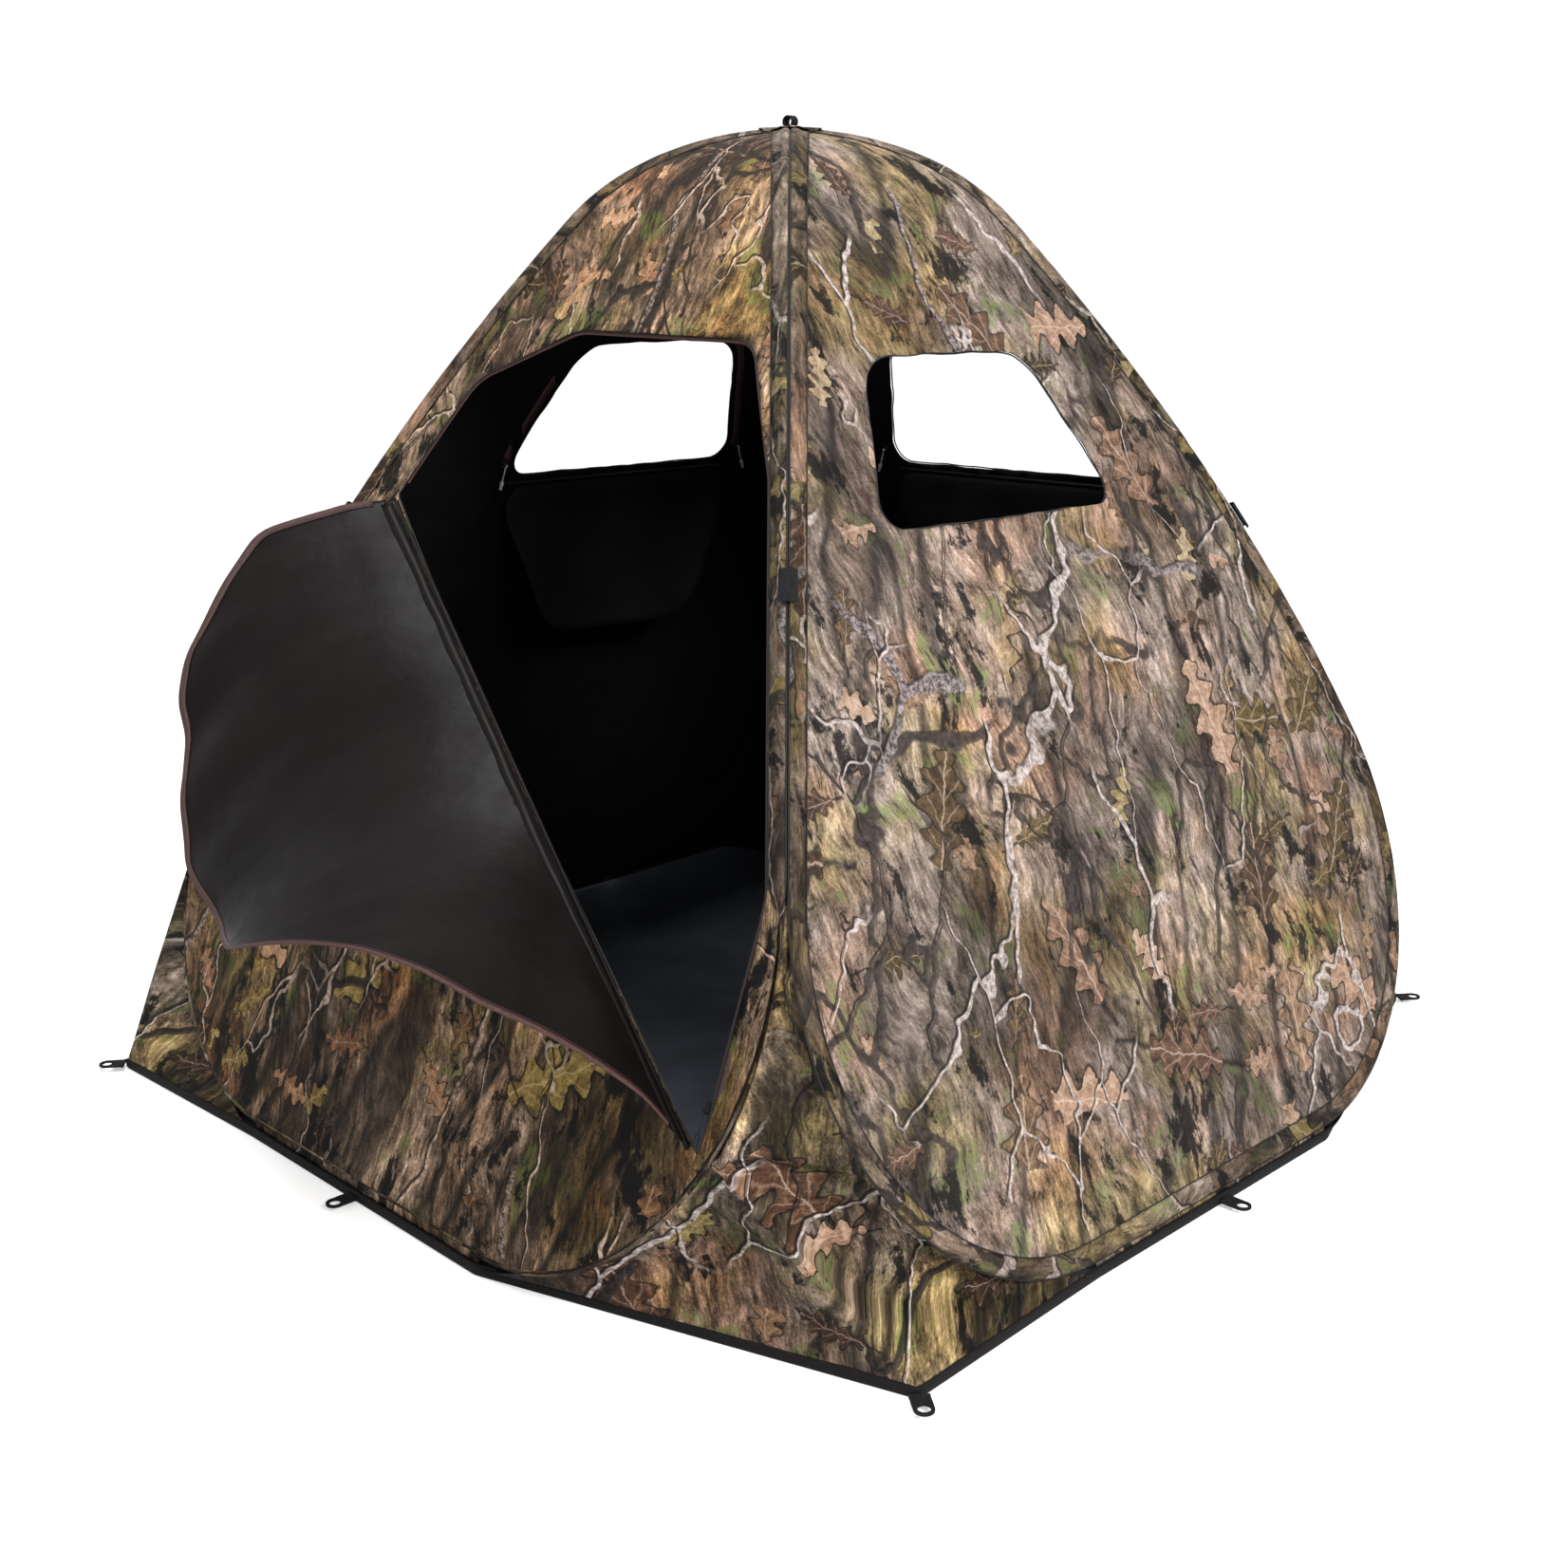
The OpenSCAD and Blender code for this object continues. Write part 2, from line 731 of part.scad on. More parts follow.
window_zipper(left_turn);  // left_window_zipper
window_slider(right_turn, -1);  // right_slider_a
window_slider(right_turn, 1);  // right_slider_b
window_slider(back_turn, -1);  // back_slider_a
window_slider(back_turn, 1);  // back_slider_b
window_slider(left_turn, -1);  // left_slider_a
window_slider(left_turn, 1);  // left_slider_b
window_pull(right_turn, -1);  // right_pull_a
window_pull(right_turn, 1);  // right_pull_b
window_pull(back_turn, -1);  // back_pull_a
window_pull(back_turn, 1);  // back_pull_b
window_pull(left_turn, -1);  // left_pull_a
window_pull(left_turn, 1);  // left_pull_b
corner_loop(-45);  // front_right_loop
corner_loop(45);  // back_right_loop
corner_loop(135);  // back_left_loop
corner_loop(225);  // front_left_loop
side_loop(-90);  // door_side_loop
side_loop(0);  // right_side_loop
side_loop(90);  // back_side_loop
side_loop(180);  // left_side_loop
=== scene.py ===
"""Pop up ground blind: the fabric, trims and light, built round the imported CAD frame. Metres, +Z up."""

import math

import bpy
import numpy as np
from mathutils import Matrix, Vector
from mathutils.geometry import delaunay_2d_cdt


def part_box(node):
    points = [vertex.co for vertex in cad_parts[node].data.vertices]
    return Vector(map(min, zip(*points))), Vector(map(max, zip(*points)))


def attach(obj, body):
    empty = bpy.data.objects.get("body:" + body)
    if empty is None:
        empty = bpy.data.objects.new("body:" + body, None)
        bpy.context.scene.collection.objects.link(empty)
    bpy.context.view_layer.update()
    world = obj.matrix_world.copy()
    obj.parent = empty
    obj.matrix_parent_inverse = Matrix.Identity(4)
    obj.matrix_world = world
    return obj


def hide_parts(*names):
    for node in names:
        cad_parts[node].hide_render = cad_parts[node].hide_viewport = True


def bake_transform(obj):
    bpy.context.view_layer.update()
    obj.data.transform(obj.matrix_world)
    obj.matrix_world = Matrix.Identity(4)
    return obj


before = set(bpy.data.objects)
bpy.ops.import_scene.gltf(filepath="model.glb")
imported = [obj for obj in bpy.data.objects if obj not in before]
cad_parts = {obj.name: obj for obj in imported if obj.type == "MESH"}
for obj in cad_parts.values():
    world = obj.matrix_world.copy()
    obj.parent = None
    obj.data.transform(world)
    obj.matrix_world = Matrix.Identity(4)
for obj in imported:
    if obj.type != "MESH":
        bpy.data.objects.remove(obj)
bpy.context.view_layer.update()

MM = 0.001
TAU = 2 * math.pi

# ---- Driving dimensions, the same as the CAD's ----

FOOT = 845 * MM
CROWN = 1440 * MM
BEND_Z = 550 * MM
HOOP_CORNER = 375 * MM
HEM_HEIGHT = 16 * MM
FABRIC = 1.5 * MM
SLEEVE = 5.6 * MM
STAKE_SIDE = 1524 * MM
FLOOR_TWIST = math.radians(8)
WALL_LEAN = math.radians(21)
CROWN_LEAN = math.radians(34)
SILL = 915 * MM
WINDOW_HEIGHT = 215 * MM
SILL_HALF = 255 * MM
WINDOW_TOP_HALF = 165 * MM
WINDOW_SHIFT = -50 * MM
WINDOW_SWING = math.radians(150)
WINDOW_RADII = (0.030, 0.030, 0.075, 0.075)
DOOR_RADII = (0.060, 0.090, 0.070)
HINGE_TOP = np.array([-371, 914]) * MM
HINGE_LOW = np.array([606, 250]) * MM
DOOR_EDGE = 34 * MM
DOOR_GAP = 12 * MM
HINGE_STAND = 13 * MM
FOLD_LOW = math.radians(104)
FOLD_HIGH = math.radians(166)
TURNS = {"right": 0.0, "back": 90.0, "left": 180.0, "door": -90.0}
WINDOW_WALLS = ("right", "back", "left")

# ---- Section of a wall: straight lean, slow curve, tight curve of the crown ----

bend_x = FOOT - math.tan(WALL_LEAN) * BEND_Z
crown_share = (1 - math.sin(CROWN_LEAN)) / math.cos(CROWN_LEAN)
slow_radius = ((CROWN - BEND_Z - crown_share * bend_x)
               / (math.sin(CROWN_LEAN) - math.sin(WALL_LEAN)
                  - crown_share * (math.cos(WALL_LEAN) - math.cos(CROWN_LEAN))))
tight_radius = ((bend_x - slow_radius * (math.cos(WALL_LEAN) - math.cos(CROWN_LEAN)))
                / math.cos(CROWN_LEAN))
slow_x = bend_x - slow_radius * math.cos(WALL_LEAN)
slow_z = BEND_Z - slow_radius * math.sin(WALL_LEAN)
tight_z = CROWN - tight_radius
slow_from = BEND_Z / math.cos(WALL_LEAN)
tight_from = slow_from + slow_radius * (CROWN_LEAN - WALL_LEAN)
slope_length = tight_from + tight_radius * (math.pi / 2 - CROWN_LEAN)


def profile(s):
    """Distance from the middle, height and lean of the wall at a distance s up its slope."""
    s = np.asarray(s, float)
    slow = WALL_LEAN + (s - slow_from) / slow_radius
    tight = CROWN_LEAN + (s - tight_from) / tight_radius
    straight = s < slow_from
    low = s < tight_from
    x = np.where(straight, FOOT - s * math.sin(WALL_LEAN),
                 np.where(low, slow_x + slow_radius * np.cos(slow), tight_radius * np.cos(tight)))
    z = np.where(straight, s * math.cos(WALL_LEAN),
                 np.where(low, slow_z + slow_radius * np.sin(slow), tight_z + tight_radius * np.sin(tight)))
    return x, z, np.where(straight, WALL_LEAN, np.where(low, slow, tight))


_table_s = np.linspace(0, slope_length, 4000)
_table_x, _table_z, _ = profile(_table_s)


def slope_of_height(z):
    return np.interp(z, _table_z, _table_s)


def slope_of_reach(x):
    return np.interp(-np.asarray(x, float), -_table_x, _table_s)


def reach(z):
    return profile(slope_of_height(z))[0]


def to_slope(points):
    """From u and z to u and s."""
    return np.stack([points[:, 0], slope_of_height(points[:, 1])], 1)


def on_wall(wall, u, s, out):
    """Points on a wall: u along it, s up its slope, out of its face."""
    turn = math.radians(TURNS[wall])
    x, z, lean = profile(s)
    x = x + out * np.cos(lean)
    z = z + out * np.sin(lean)
    c, k = math.cos(turn), math.sin(turn)
    return np.stack([x * c - u * k, x * k + u * c, z], -1)


# ---- Small tools ----

SLIVER = 1e-10

def smooth(low, high, value):
    """0 below low, 1 above high, with a soft step between them."""
    t = np.clip((value - low) / (high - low), 0, 1)
    return t * t * (3 - 2 * t)


def cloud(x, y, seed):
    """Smooth noise from -1 to 1."""
    x, y = np.broadcast_arrays(np.asarray(x, float), np.asarray(y, float))
    xi, yi = np.floor(x), np.floor(y)
    fx, fy = x - xi, y - yi
    fx, fy = fx * fx * (3 - 2 * fx), fy * fy * (3 - 2 * fy)

    def corner(a, b):
        return (np.sin(a * 127.1 + b * 311.7 + seed * 74.7) * 43758.5453) % 1.0

    low = corner(xi, yi) * (1 - fx) + corner(xi + 1, yi) * fx
    high = corner(xi, yi + 1) * (1 - fx) + corner(xi + 1, yi + 1) * fx
    return (low * (1 - fy) + high * fy) * 2 - 1


def lengths(points):
    """Distance travelled along a line, at each of its points."""
    return np.r_[0, np.cumsum(np.linalg.norm(np.diff(points, axis=0), axis=1))]


def resample(points, spacing):
    """Even points along a closed line."""
    p = np.asarray(points, float)
    p = np.vstack([p, p[:1]])
    along = lengths(p)
    count = max(3, int(round(along[-1] / spacing)))
    t = np.linspace(0, along[-1], count + 1)
    return np.stack([np.interp(t, along, p[:, k]) for k in range(p.shape[1])], 1)[:-1]


def inside(points, outline):
    """Which points lie inside a closed outline."""
    px, py = points[:, 0], points[:, 1]
    result = np.zeros(len(points), bool)
    ax, ay = outline[-1]
    for bx, by in outline:
        crosses = (ay > py) != (by > py)
        if ay != by:
            result ^= crosses & (px < (bx - ax) * (py - ay) / (by - ay) + ax)
        ax, ay = bx, by
    return result


def nearest(points, outline):
    """Distance to a densely drawn outline, and the index of its nearest point."""
    gap = np.full(len(points), 1e9)
    index = np.zeros(len(points), int)
    for from_row in range(0, len(points), 2000):
        part = points[from_row:from_row + 2000]
        d = np.linalg.norm(part[:, None] - outline[None], axis=2)
        index[from_row:from_row + 2000] = d.argmin(1)
        gap[from_row:from_row + 2000] = d.min(1)
    return gap, index


def inset(outline, distance):
    """A closed outline moved inwards (points run anticlockwise)."""
    before = outline - np.roll(outline, 1, 0)
    after = np.roll(outline, -1, 0) - outline
    before /= np.linalg.norm(before, axis=1)[:, None]
    after /= np.linalg.norm(after, axis=1)[:, None]
    nb = np.stack([-before[:, 1], before[:, 0]], 1)
    na = np.stack([-after[:, 1], after[:, 0]], 1)
    return outline + distance * (nb + na) / (1 + (nb * na).sum(1))[:, None]


def in_cloth(points, outline, holes):
    """Which points lie inside an outline and outside its holes."""
    keep = inside(points, outline)
    for hole in holes:
        keep &= ~inside(points, hole)
    return keep


def sheet(outline, holes, spacing):
    """Flat triangles that fill an outline with holes."""
    low, high = outline.min(0), outline.max(0)
    rows = np.arange(low[1], high[1], spacing * 0.866)
    grid = []
    for k, y in enumerate(rows):
        x = np.arange(low[0] + (k % 2) * spacing / 2, high[0], spacing)
        grid.append(np.stack([x, np.full(len(x), y)], 1))
    grid = np.concatenate(grid)
    grid = grid[in_cloth(grid, outline, holes)]
    border = np.concatenate([outline, *holes])
    grid = grid[nearest(grid, border)[0] > spacing * 0.55]
    edges, start = [], 0
    for loop in [outline, *holes]:
        n = len(loop)
        edges += [(start + i, start + (i + 1) % n) for i in range(n)]
        start += n
    points = np.concatenate([border, grid])
    out = delaunay_2d_cdt([Vector(p) for p in points], edges, [], 0, 1e-7)
    flat = np.array([tuple(v) for v in out[0]])
    faces = np.array([f for f in out[2] if len(f) == 3])
    faces = faces[in_cloth(flat[faces].mean(1), outline, holes)]
    a, b, c = (flat[faces[:, k]] for k in range(3))
    area = (b - a)[:, 0] * (c - a)[:, 1] - (b - a)[:, 1] * (c - a)[:, 0]
    real = np.abs(area) > SLIVER
    faces, area = faces[real], area[real]
    faces[area < 0] = faces[area < 0][:, ::-1]
    return flat, faces


def piece(name, points, faces, uv, materials, body="tent", replaces=(), face_material=None):
    """A mesh piece of the object."""
    mesh = bpy.data.meshes.new(name)
    mesh.from_pydata(np.reshape(points, (-1, 3)).tolist(), [], [tuple(int(i) for i in f) for f in faces])
    mesh.update()
    layer = mesh.uv_layers.new(name="Fabric")
    corner = np.zeros(len(mesh.loops), int)
    mesh.loops.foreach_get("vertex_index", corner)
    layer.data.foreach_set("uv", np.reshape(uv, (-1, 2)).astype(float)[corner].astype(np.float32).ravel())
    for m in materials:
        mesh.materials.append(m)
    if face_material is not None:
        mesh.polygons.foreach_set("material_index", np.asarray(face_material, np.int32))
    mesh.polygons.foreach_set("use_smooth", np.ones(len(mesh.polygons), bool))
    obj = bpy.data.objects.new(name, mesh)
    bpy.context.scene.collection.objects.link(obj)
    if body:
        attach(obj, body)
    if replaces:
        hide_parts(*replaces)
    return obj


def thicken(obj, thickness, inner=1):
    """Gives a sheet its thickness, inwards, with the inner side and rim in another material."""
    m = obj.modifiers.new("Thickness", "SOLIDIFY")
    m.thickness = thickness
    m.offset = -1
    m.material_offset = inner
    m.material_offset_rim = inner
    return obj


def grid_faces(rows, columns, close_rows=False, close_columns=False):
    """Four-sided faces between the points of a grid."""
    faces = []
    for i in range(rows if close_rows else rows - 1):
        for j in range(columns if close_columns else columns - 1):
            k, l = (i + 1) % rows, (j + 1) % columns
            faces.append((i * columns + j, k * columns + j, k * columns + l, i * columns + l))
    return faces


def swept(path, outs, section, closed=True, scale=None):
    """An outline (out, side) carried along a path. Gives points, faces and a uv in metres."""
    path = np.asarray(path, float)
    along = np.roll(path, -1, 0) - np.roll(path, 1, 0) if closed else np.gradient(path, axis=0)
    along /= np.linalg.norm(along, axis=1)[:, None]
    side = np.cross(outs, along)
    side /= np.linalg.norm(side, axis=1)[:, None]
    out = np.cross(along, side)
    section = np.asarray(section, float)
    size = np.ones(len(path)) if scale is None else scale
    points = (path[:, None] + (size[:, None] * section[None, :, 0])[..., None] * out[:, None]
              + (size[:, None] * section[None, :, 1])[..., None] * side[:, None])
    rows, columns = len(path), len(section)
    travelled = lengths(np.vstack([path, path[:1]]))[:rows]
    around = lengths(np.vstack([section, section[:1]]))[:columns]
    uv = np.stack(np.broadcast_arrays(travelled[:, None], around[None]), -1)
    faces = grid_faces(rows, columns, closed, True)
    if not closed:
        faces.append(tuple(range(columns))[::-1])
        faces.append(tuple((rows - 1) * columns + j for j in range(columns)))
    return points.reshape(-1, 3), faces, uv.reshape(-1, 2)


def ring(radius, count):
    a = np.arange(count) * TAU / count
    return radius * np.stack([np.cos(a), np.sin(a)], 1)


# ---- Materials ----

class Graph:
    """Short names for building a node tree."""

    def __init__(self, tree):
        self.tree = tree

    def node(self, kind, **settings):
        n = self.tree.nodes.new("ShaderNode" + kind)
        for k, v in settings.items():
            setattr(n, k, v)
        return n

    def put(self, value, socket):
        if isinstance(value, bpy.types.NodeSocket):
            self.tree.links.new(value, socket)
        else:
            socket.default_value = value

    def fed(self, kind, values, **settings):
        """A node with values put into its first inputs."""
        n = self.node(kind, **settings)
        for v, socket in zip(values, n.inputs):
            self.put(v, socket)
        return n

    def math(self, operation, *values, clamp=False):
        return self.fed("Math", values, operation=operation, use_clamp=clamp).outputs[0]

    def times(self, *values):
        return self.math("MULTIPLY", *values)

    def plus(self, *values):
        return self.math("ADD", *values)

    def minus(self, *values):
        return self.math("SUBTRACT", *values)

    def vector(self, operation, *values):
        return self.fed("VectorMath", values, operation=operation).outputs[0]

    def noise(self, vector, scale, detail=2.0, roughness=0.5, output="Fac"):
        n = self.node("TexNoise")
        for v, name in ((vector, "Vector"), (scale, "Scale"), (detail, "Detail"), (roughness, "Roughness")):
            self.put(v, n.inputs[name])
        return n.outputs[output]

    def span(self, value, low, high, to_low=0.0, to_high=1.0, smooth_step=True):
        kind = "SMOOTHSTEP" if smooth_step else "LINEAR"
        return self.fed("MapRange", (value, low, high, to_low, to_high), clamp=True,
                        interpolation_type=kind).outputs[0]

    def ramp(self, value, stops):
        n = self.node("ValToRGB")
        self.put(value, n.inputs[0])
        elements = n.color_ramp.elements
        while len(elements) < len(stops):
            elements.new(0.5)
        for e, (place, colour) in zip(elements, stops):
            e.position = place
            e.color = (*colour, 1)
        return n.outputs[0]

    def mix(self, share, a, b, blend="MIX"):
        n = self.node("Mix", data_type="RGBA", blend_type=blend)
        self.put(share, n.inputs[0])
        self.put(a if isinstance(a, bpy.types.NodeSocket) else (*a, 1), n.inputs[6])
        self.put(b if isinstance(b, bpy.types.NodeSocket) else (*b, 1), n.inputs[7])
        return n.outputs[2]

    def multiplied(self, share, base, colour):
        """The base, multiplied by a colour for a share of the way."""
        return self.mix(share, base, self.mix(1.0, base, colour, "MULTIPLY"))

    def toned(self, share, colour, dark, light):
        """A darker to a lighter tone of one colour."""
        return self.mix(share, tuple(c * dark for c in colour), tuple(c * light for c in colour))

    def split(self, vector):
        return self.fed("SeparateXYZ", [vector]).outputs

    def join(self, x, y, z=0.0):
        return self.fed("CombineXYZ", (x, y, z)).outputs[0]

    def bump(self, height, strength, distance, normal=None):
        n = self.node("Bump")
        for v, name in ((strength, "Strength"), (distance, "Distance"), (height, "Height")):
            self.put(v, n.inputs[name])
        if normal is not None:
            self.put(normal, n.inputs["Normal"])
        return n.outputs[0]


def new_material(name, roughness=0.5, shine=0.5, metallic=0.0):
    m = bpy.data.materials.new(name)
    m.use_nodes = True
    shader = m.node_tree.nodes["Principled BSDF"]
    for value, socket in ((roughness, "Roughness"), (shine, "Specular IOR Level"), (metallic, "Metallic")):
        shader.inputs[socket].default_value = value
    return m, Graph(m.node_tree), shader


def plain(name, colour, roughness, metallic=0.0, grain=0.0, grain_scale=900.0):
    """An even finish, cloudy by a little."""
    m, g, shader = new_material(name, roughness, metallic=metallic)
    place = g.node("TexCoord").outputs["Object"]
    cloudy = g.noise(place, 9.0, 3.0)
    g.put(g.toned(g.span(cloudy, 0.3, 0.7), colour, 0.85, 1.15), shader.inputs["Base Color"])
    if grain:
        g.put(g.bump(g.noise(place, grain_scale, 2.0), grain, 0.0006), shader.inputs["Normal"])
    return m


WEAVE_PITCH = 1.6 * MM
WEAVE_DEPTH = 0.2 * MM
TAPE_PITCH = 1.4 * MM
TOOTH_PITCH = 2.6 * MM


def weave(g, uv, pitch):
    """Height of a plain weave in uv metres."""
    x, y, _ = g.split(uv)
    a = g.math("SINE", g.times(x, TAU / pitch))
    b = g.math("SINE", g.times(y, TAU / pitch))
    return g.times(a, b)


def camo_group():
    """The printed pattern: bark streaks, dark gaps, moss, lobed leaves, limbs and twigs."""
    tree = bpy.data.node_groups.new("Bark and leaf print", "ShaderNodeTree")
    tree.interface.new_socket("Place", in_out="INPUT", socket_type="NodeSocketVector")
    tree.interface.new_socket("Colour", in_out="OUTPUT", socket_type="NodeSocketColor")
    g = Graph(tree)
    place = tree.nodes.new("NodeGroupInput").outputs[0]
    out = tree.nodes.new("NodeGroupOutput").inputs[0]

    def centred(noise_colour, size):
        return g.vector("MULTIPLY", g.vector("SUBTRACT", noise_colour, (0.5, 0.5, 0.5)), (size, size, size))

    warp = centred(g.noise(place, 5.0, 2.0, output="Color"), 0.10)
    bent = g.vector("ADD", place, warp)
    x, y, _ = g.split(bent)
    slanted = g.plus(x, g.times(y, 0.13))

    # bark: streaks up the fabric, over broader plates
    streaks = g.noise(g.join(slanted, g.times(y, 0.22)), 120.0, 8.0, 0.80)
    plates = g.noise(g.join(slanted, g.times(y, 0.42)), 30.0, 7.0, 0.74)
    grit = g.noise(place, 260.0, 4.0, 0.8)
    tone = g.plus(g.times(streaks, 0.44), g.times(plates, 0.40))
    tone = g.plus(tone, g.times(grit, 0.16))
    bark = g.ramp(tone, [(0.36, (0.010, 0.008, 0.006)), (0.43, (0.042, 0.032, 0.022)),
                         (0.485, (0.115, 0.090, 0.063)), (0.54, (0.215, 0.172, 0.125)),
                         (0.60, (0.36, 0.295, 0.222)), (0.69, (0.60, 0.515, 0.41))])

    # tree trunks: slanting bands with their own tint and a dark side
    band = g.noise(g.join(g.plus(x, g.times(y, -0.22)), g.times(y, 0.12)), 6.5, 1.0)
    trunk = g.span(band, 0.53, 0.56)
    side = g.times(g.span(band, 0.49, 0.53), g.minus(1.0, trunk))
    bark = g.multiplied(g.times(trunk, 0.6), bark, (1.12, 1.04, 0.97))
    bark = g.mix(g.times(side, 0.72), bark, (0.016, 0.012, 0.009))

    # tints: olive and golden, red-brown, moss
    tint_r, tint_g, _ = g.split(g.noise(place, 3.1, 3.0, 0.6, output="Color"))
    bark = g.multiplied(g.span(tint_r, 0.47, 0.62, 0.0, 0.75), bark, (0.98, 0.96, 0.56))
    bark = g.multiplied(g.span(tint_g, 0.54, 0.68, 0.0, 0.6), bark, (1.16, 0.88, 0.70))
    moss = g.times(g.span(g.noise(bent, 9.0, 4.0, 0.65), 0.56, 0.63), g.span(streaks, 0.42, 0.58))
    bark = g.mix(g.times(moss, 0.8), bark, (0.105, 0.130, 0.040))

    # dark gaps and the broad light and dark of the woods behind
    gaps = g.noise(g.join(slanted, g.times(y, 0.55), 3.7), 15.0, 8.0, 0.72)
    bark = g.mix(g.span(gaps, 0.405, 0.455, 0.92, 0.0), bark, (0.007, 0.006, 0.005))
    broad = g.noise(g.join(x, g.times(y, 0.6), 9.1), 4.6, 2.0)
    shade = g.ramp(broad, [(0.36, (0.46, 0.44, 0.42)), (0.64, (1.22, 1.20, 1.17))])
    bark = g.mix(1.0, bark, shade, "MULTIPLY")

    def leaves(base, scale, seed, share, bright):
        """Lobed leaves, one to a cell, turned at random; a share of the cells has one."""
        cells = g.node("TexVoronoi", feature="F1")
        moved = g.vector("ADD", place, (seed, seed * 0.7, 0))
        shifted = g.vector("ADD", moved, centred(g.noise(place, 26.0, 4.0, 0.6, output="Color"), 0.026))
        for value, name in ((shifted, "Vector"), (scale, "Scale"), (0.75, "Randomness")):
            g.put(value, cells.inputs[name])
        local = g.vector("SUBTRACT", shifted, cells.outputs["Position"])
        r1, r2, r3 = g.split(cells.outputs["Color"])
        turn = g.node("VectorRotate", rotation_type="Z_AXIS")
        g.put(local, turn.inputs["Vector"])
        g.put(g.times(g.minus(r1, 0.5), 3.4), turn.inputs["Angle"])
        lx, ly, _ = g.split(turn.outputs[0])
        long = g.span(r3, 0.0, 1.0, 0.34, 0.46, smooth_step=False)
        a = g.math("DIVIDE", g.times(ly, scale), long)
        b = g.times(g.math("ABSOLUTE", lx), scale)
        body = g.math("SUBTRACT", 1.0, g.times(a, a), clamp=True)
        lobes = g.plus(0.68, g.times(0.32, g.math("COSINE", g.times(a, 13.0))))
        width = g.times(g.times(g.math("SQRT", body), lobes), 0.21)
        edge = g.minus(width, b)
        shape = g.times(g.span(edge, 0.0, 0.012), g.math("GREATER_THAN", share, r2))
        shadow = g.times(g.span(edge, -0.035, 0.0), g.math("GREATER_THAN", share, r2))
        rib = g.span(b, 0.0, 0.012, 1.0, 0.0)
        veins = g.span(g.math("SINE", g.times(g.minus(a, g.times(b, 3.2)), 15.0)), 0.86, 1.0)
        mottle = g.noise(bent, 70.0, 6.0, 0.74)
        blade = g.ramp(g.plus(g.times(mottle, 0.62), g.times(r3, 0.36)),
                       [(0.30, (0.028, 0.016, 0.010)), (0.46, (0.105, 0.060, 0.033)),
                        (0.60, (0.235, 0.150, 0.086)), (0.78, (0.43, 0.325, 0.215))])
        blade = g.multiplied(g.span(r1, 0.45, 0.75, 0.0, 0.8), blade, (0.72, 0.92, 0.52))
        blade = g.mix(g.span(streaks, 0.46, 0.36, 0.0, 0.75), blade, (0.020, 0.014, 0.010))
        lines = g.times(g.math("MAXIMUM", rib, g.times(veins, 0.45)), 0.55)
        blade = g.mix(lines, blade, (0.40, 0.31, 0.21))
        base = g.mix(g.times(shadow, 0.85), base, (0.012, 0.009, 0.007))
        return g.mix(g.times(shape, bright), base, blade)

    bark = leaves(bark, 9.5, 8.1, 0.24, 0.82)
    bark = leaves(bark, 4.7, 3.3, 0.27, 0.90)

    def twigs(base, scale, half_width, seed, keep, amount, colour):
        """A net of forking lines with parts left out, each with a shadow beside it."""
        result = base
        for shift, line_colour, strength in ((0.0035, (0.010, 0.008, 0.006), 0.75), (0.0, colour, amount)):
            cells = g.node("TexVoronoi", feature="DISTANCE_TO_EDGE")
            moved = g.vector("ADD", place, (seed + shift, seed * 1.3 - shift, 0))
            curl = centred(g.noise(moved, 6.0, 3.0, 0.55, output="Color"), 0.12)
            drawn = g.vector("MULTIPLY", g.vector("ADD", moved, curl), (1.0, 0.45, 1.0))
            g.put(drawn, cells.inputs["Vector"])
            g.put(scale, cells.inputs["Scale"])
            wide = g.times(g.noise(moved, 7.0, 1.0), half_width * 2 * scale)
            line = g.span(g.math("DIVIDE", cells.outputs["Distance"], wide), 0.55, 1.0, 1.0, 0.0)
            there = g.span(g.noise(g.vector("ADD", moved, (5.0, 2.0, 0)), 2.6, 1.0), keep, keep + 0.05)
            result = g.mix(g.times(g.times(line, there), strength), result, line_colour)
        return result

    def wood(scale, detail, roughness, low, high):
        return g.ramp(g.noise(bent, scale, detail, roughness), [low, high])

    pale = wood(120.0, 3.0, 0.7, (0.3, (0.085, 0.066, 0.048)), (0.62, (0.40, 0.335, 0.26)))
    limb = wood(130.0, 6.0, 0.8, (0.42, (0.040, 0.030, 0.023)), (0.60, (0.27, 0.225, 0.18)))
    dark = wood(90.0, 3.0, 0.7, (0.3, (0.014, 0.011, 0.008)), (0.7, (0.075, 0.056, 0.041)))
    for scale, half_width, seed, keep, amount, colour in (
            (3.1, 4.2 * MM, 1.7, 0.50, 0.85, dark), (6.8, 2.2 * MM, 17.3, 0.47, 0.80, dark),
            (1.5, 6.4 * MM, 23.6, 0.54, 0.85, limb), (2.6, 3.4 * MM, 6.4, 0.51, 0.85, pale),
            (6.0, 1.4 * MM, 11.9, 0.48, 0.80, pale)):
        bark = twigs(bark, scale, half_width, seed, keep, amount, colour)
    tree.links.new(bark, out)
    return tree


print_group = camo_group()


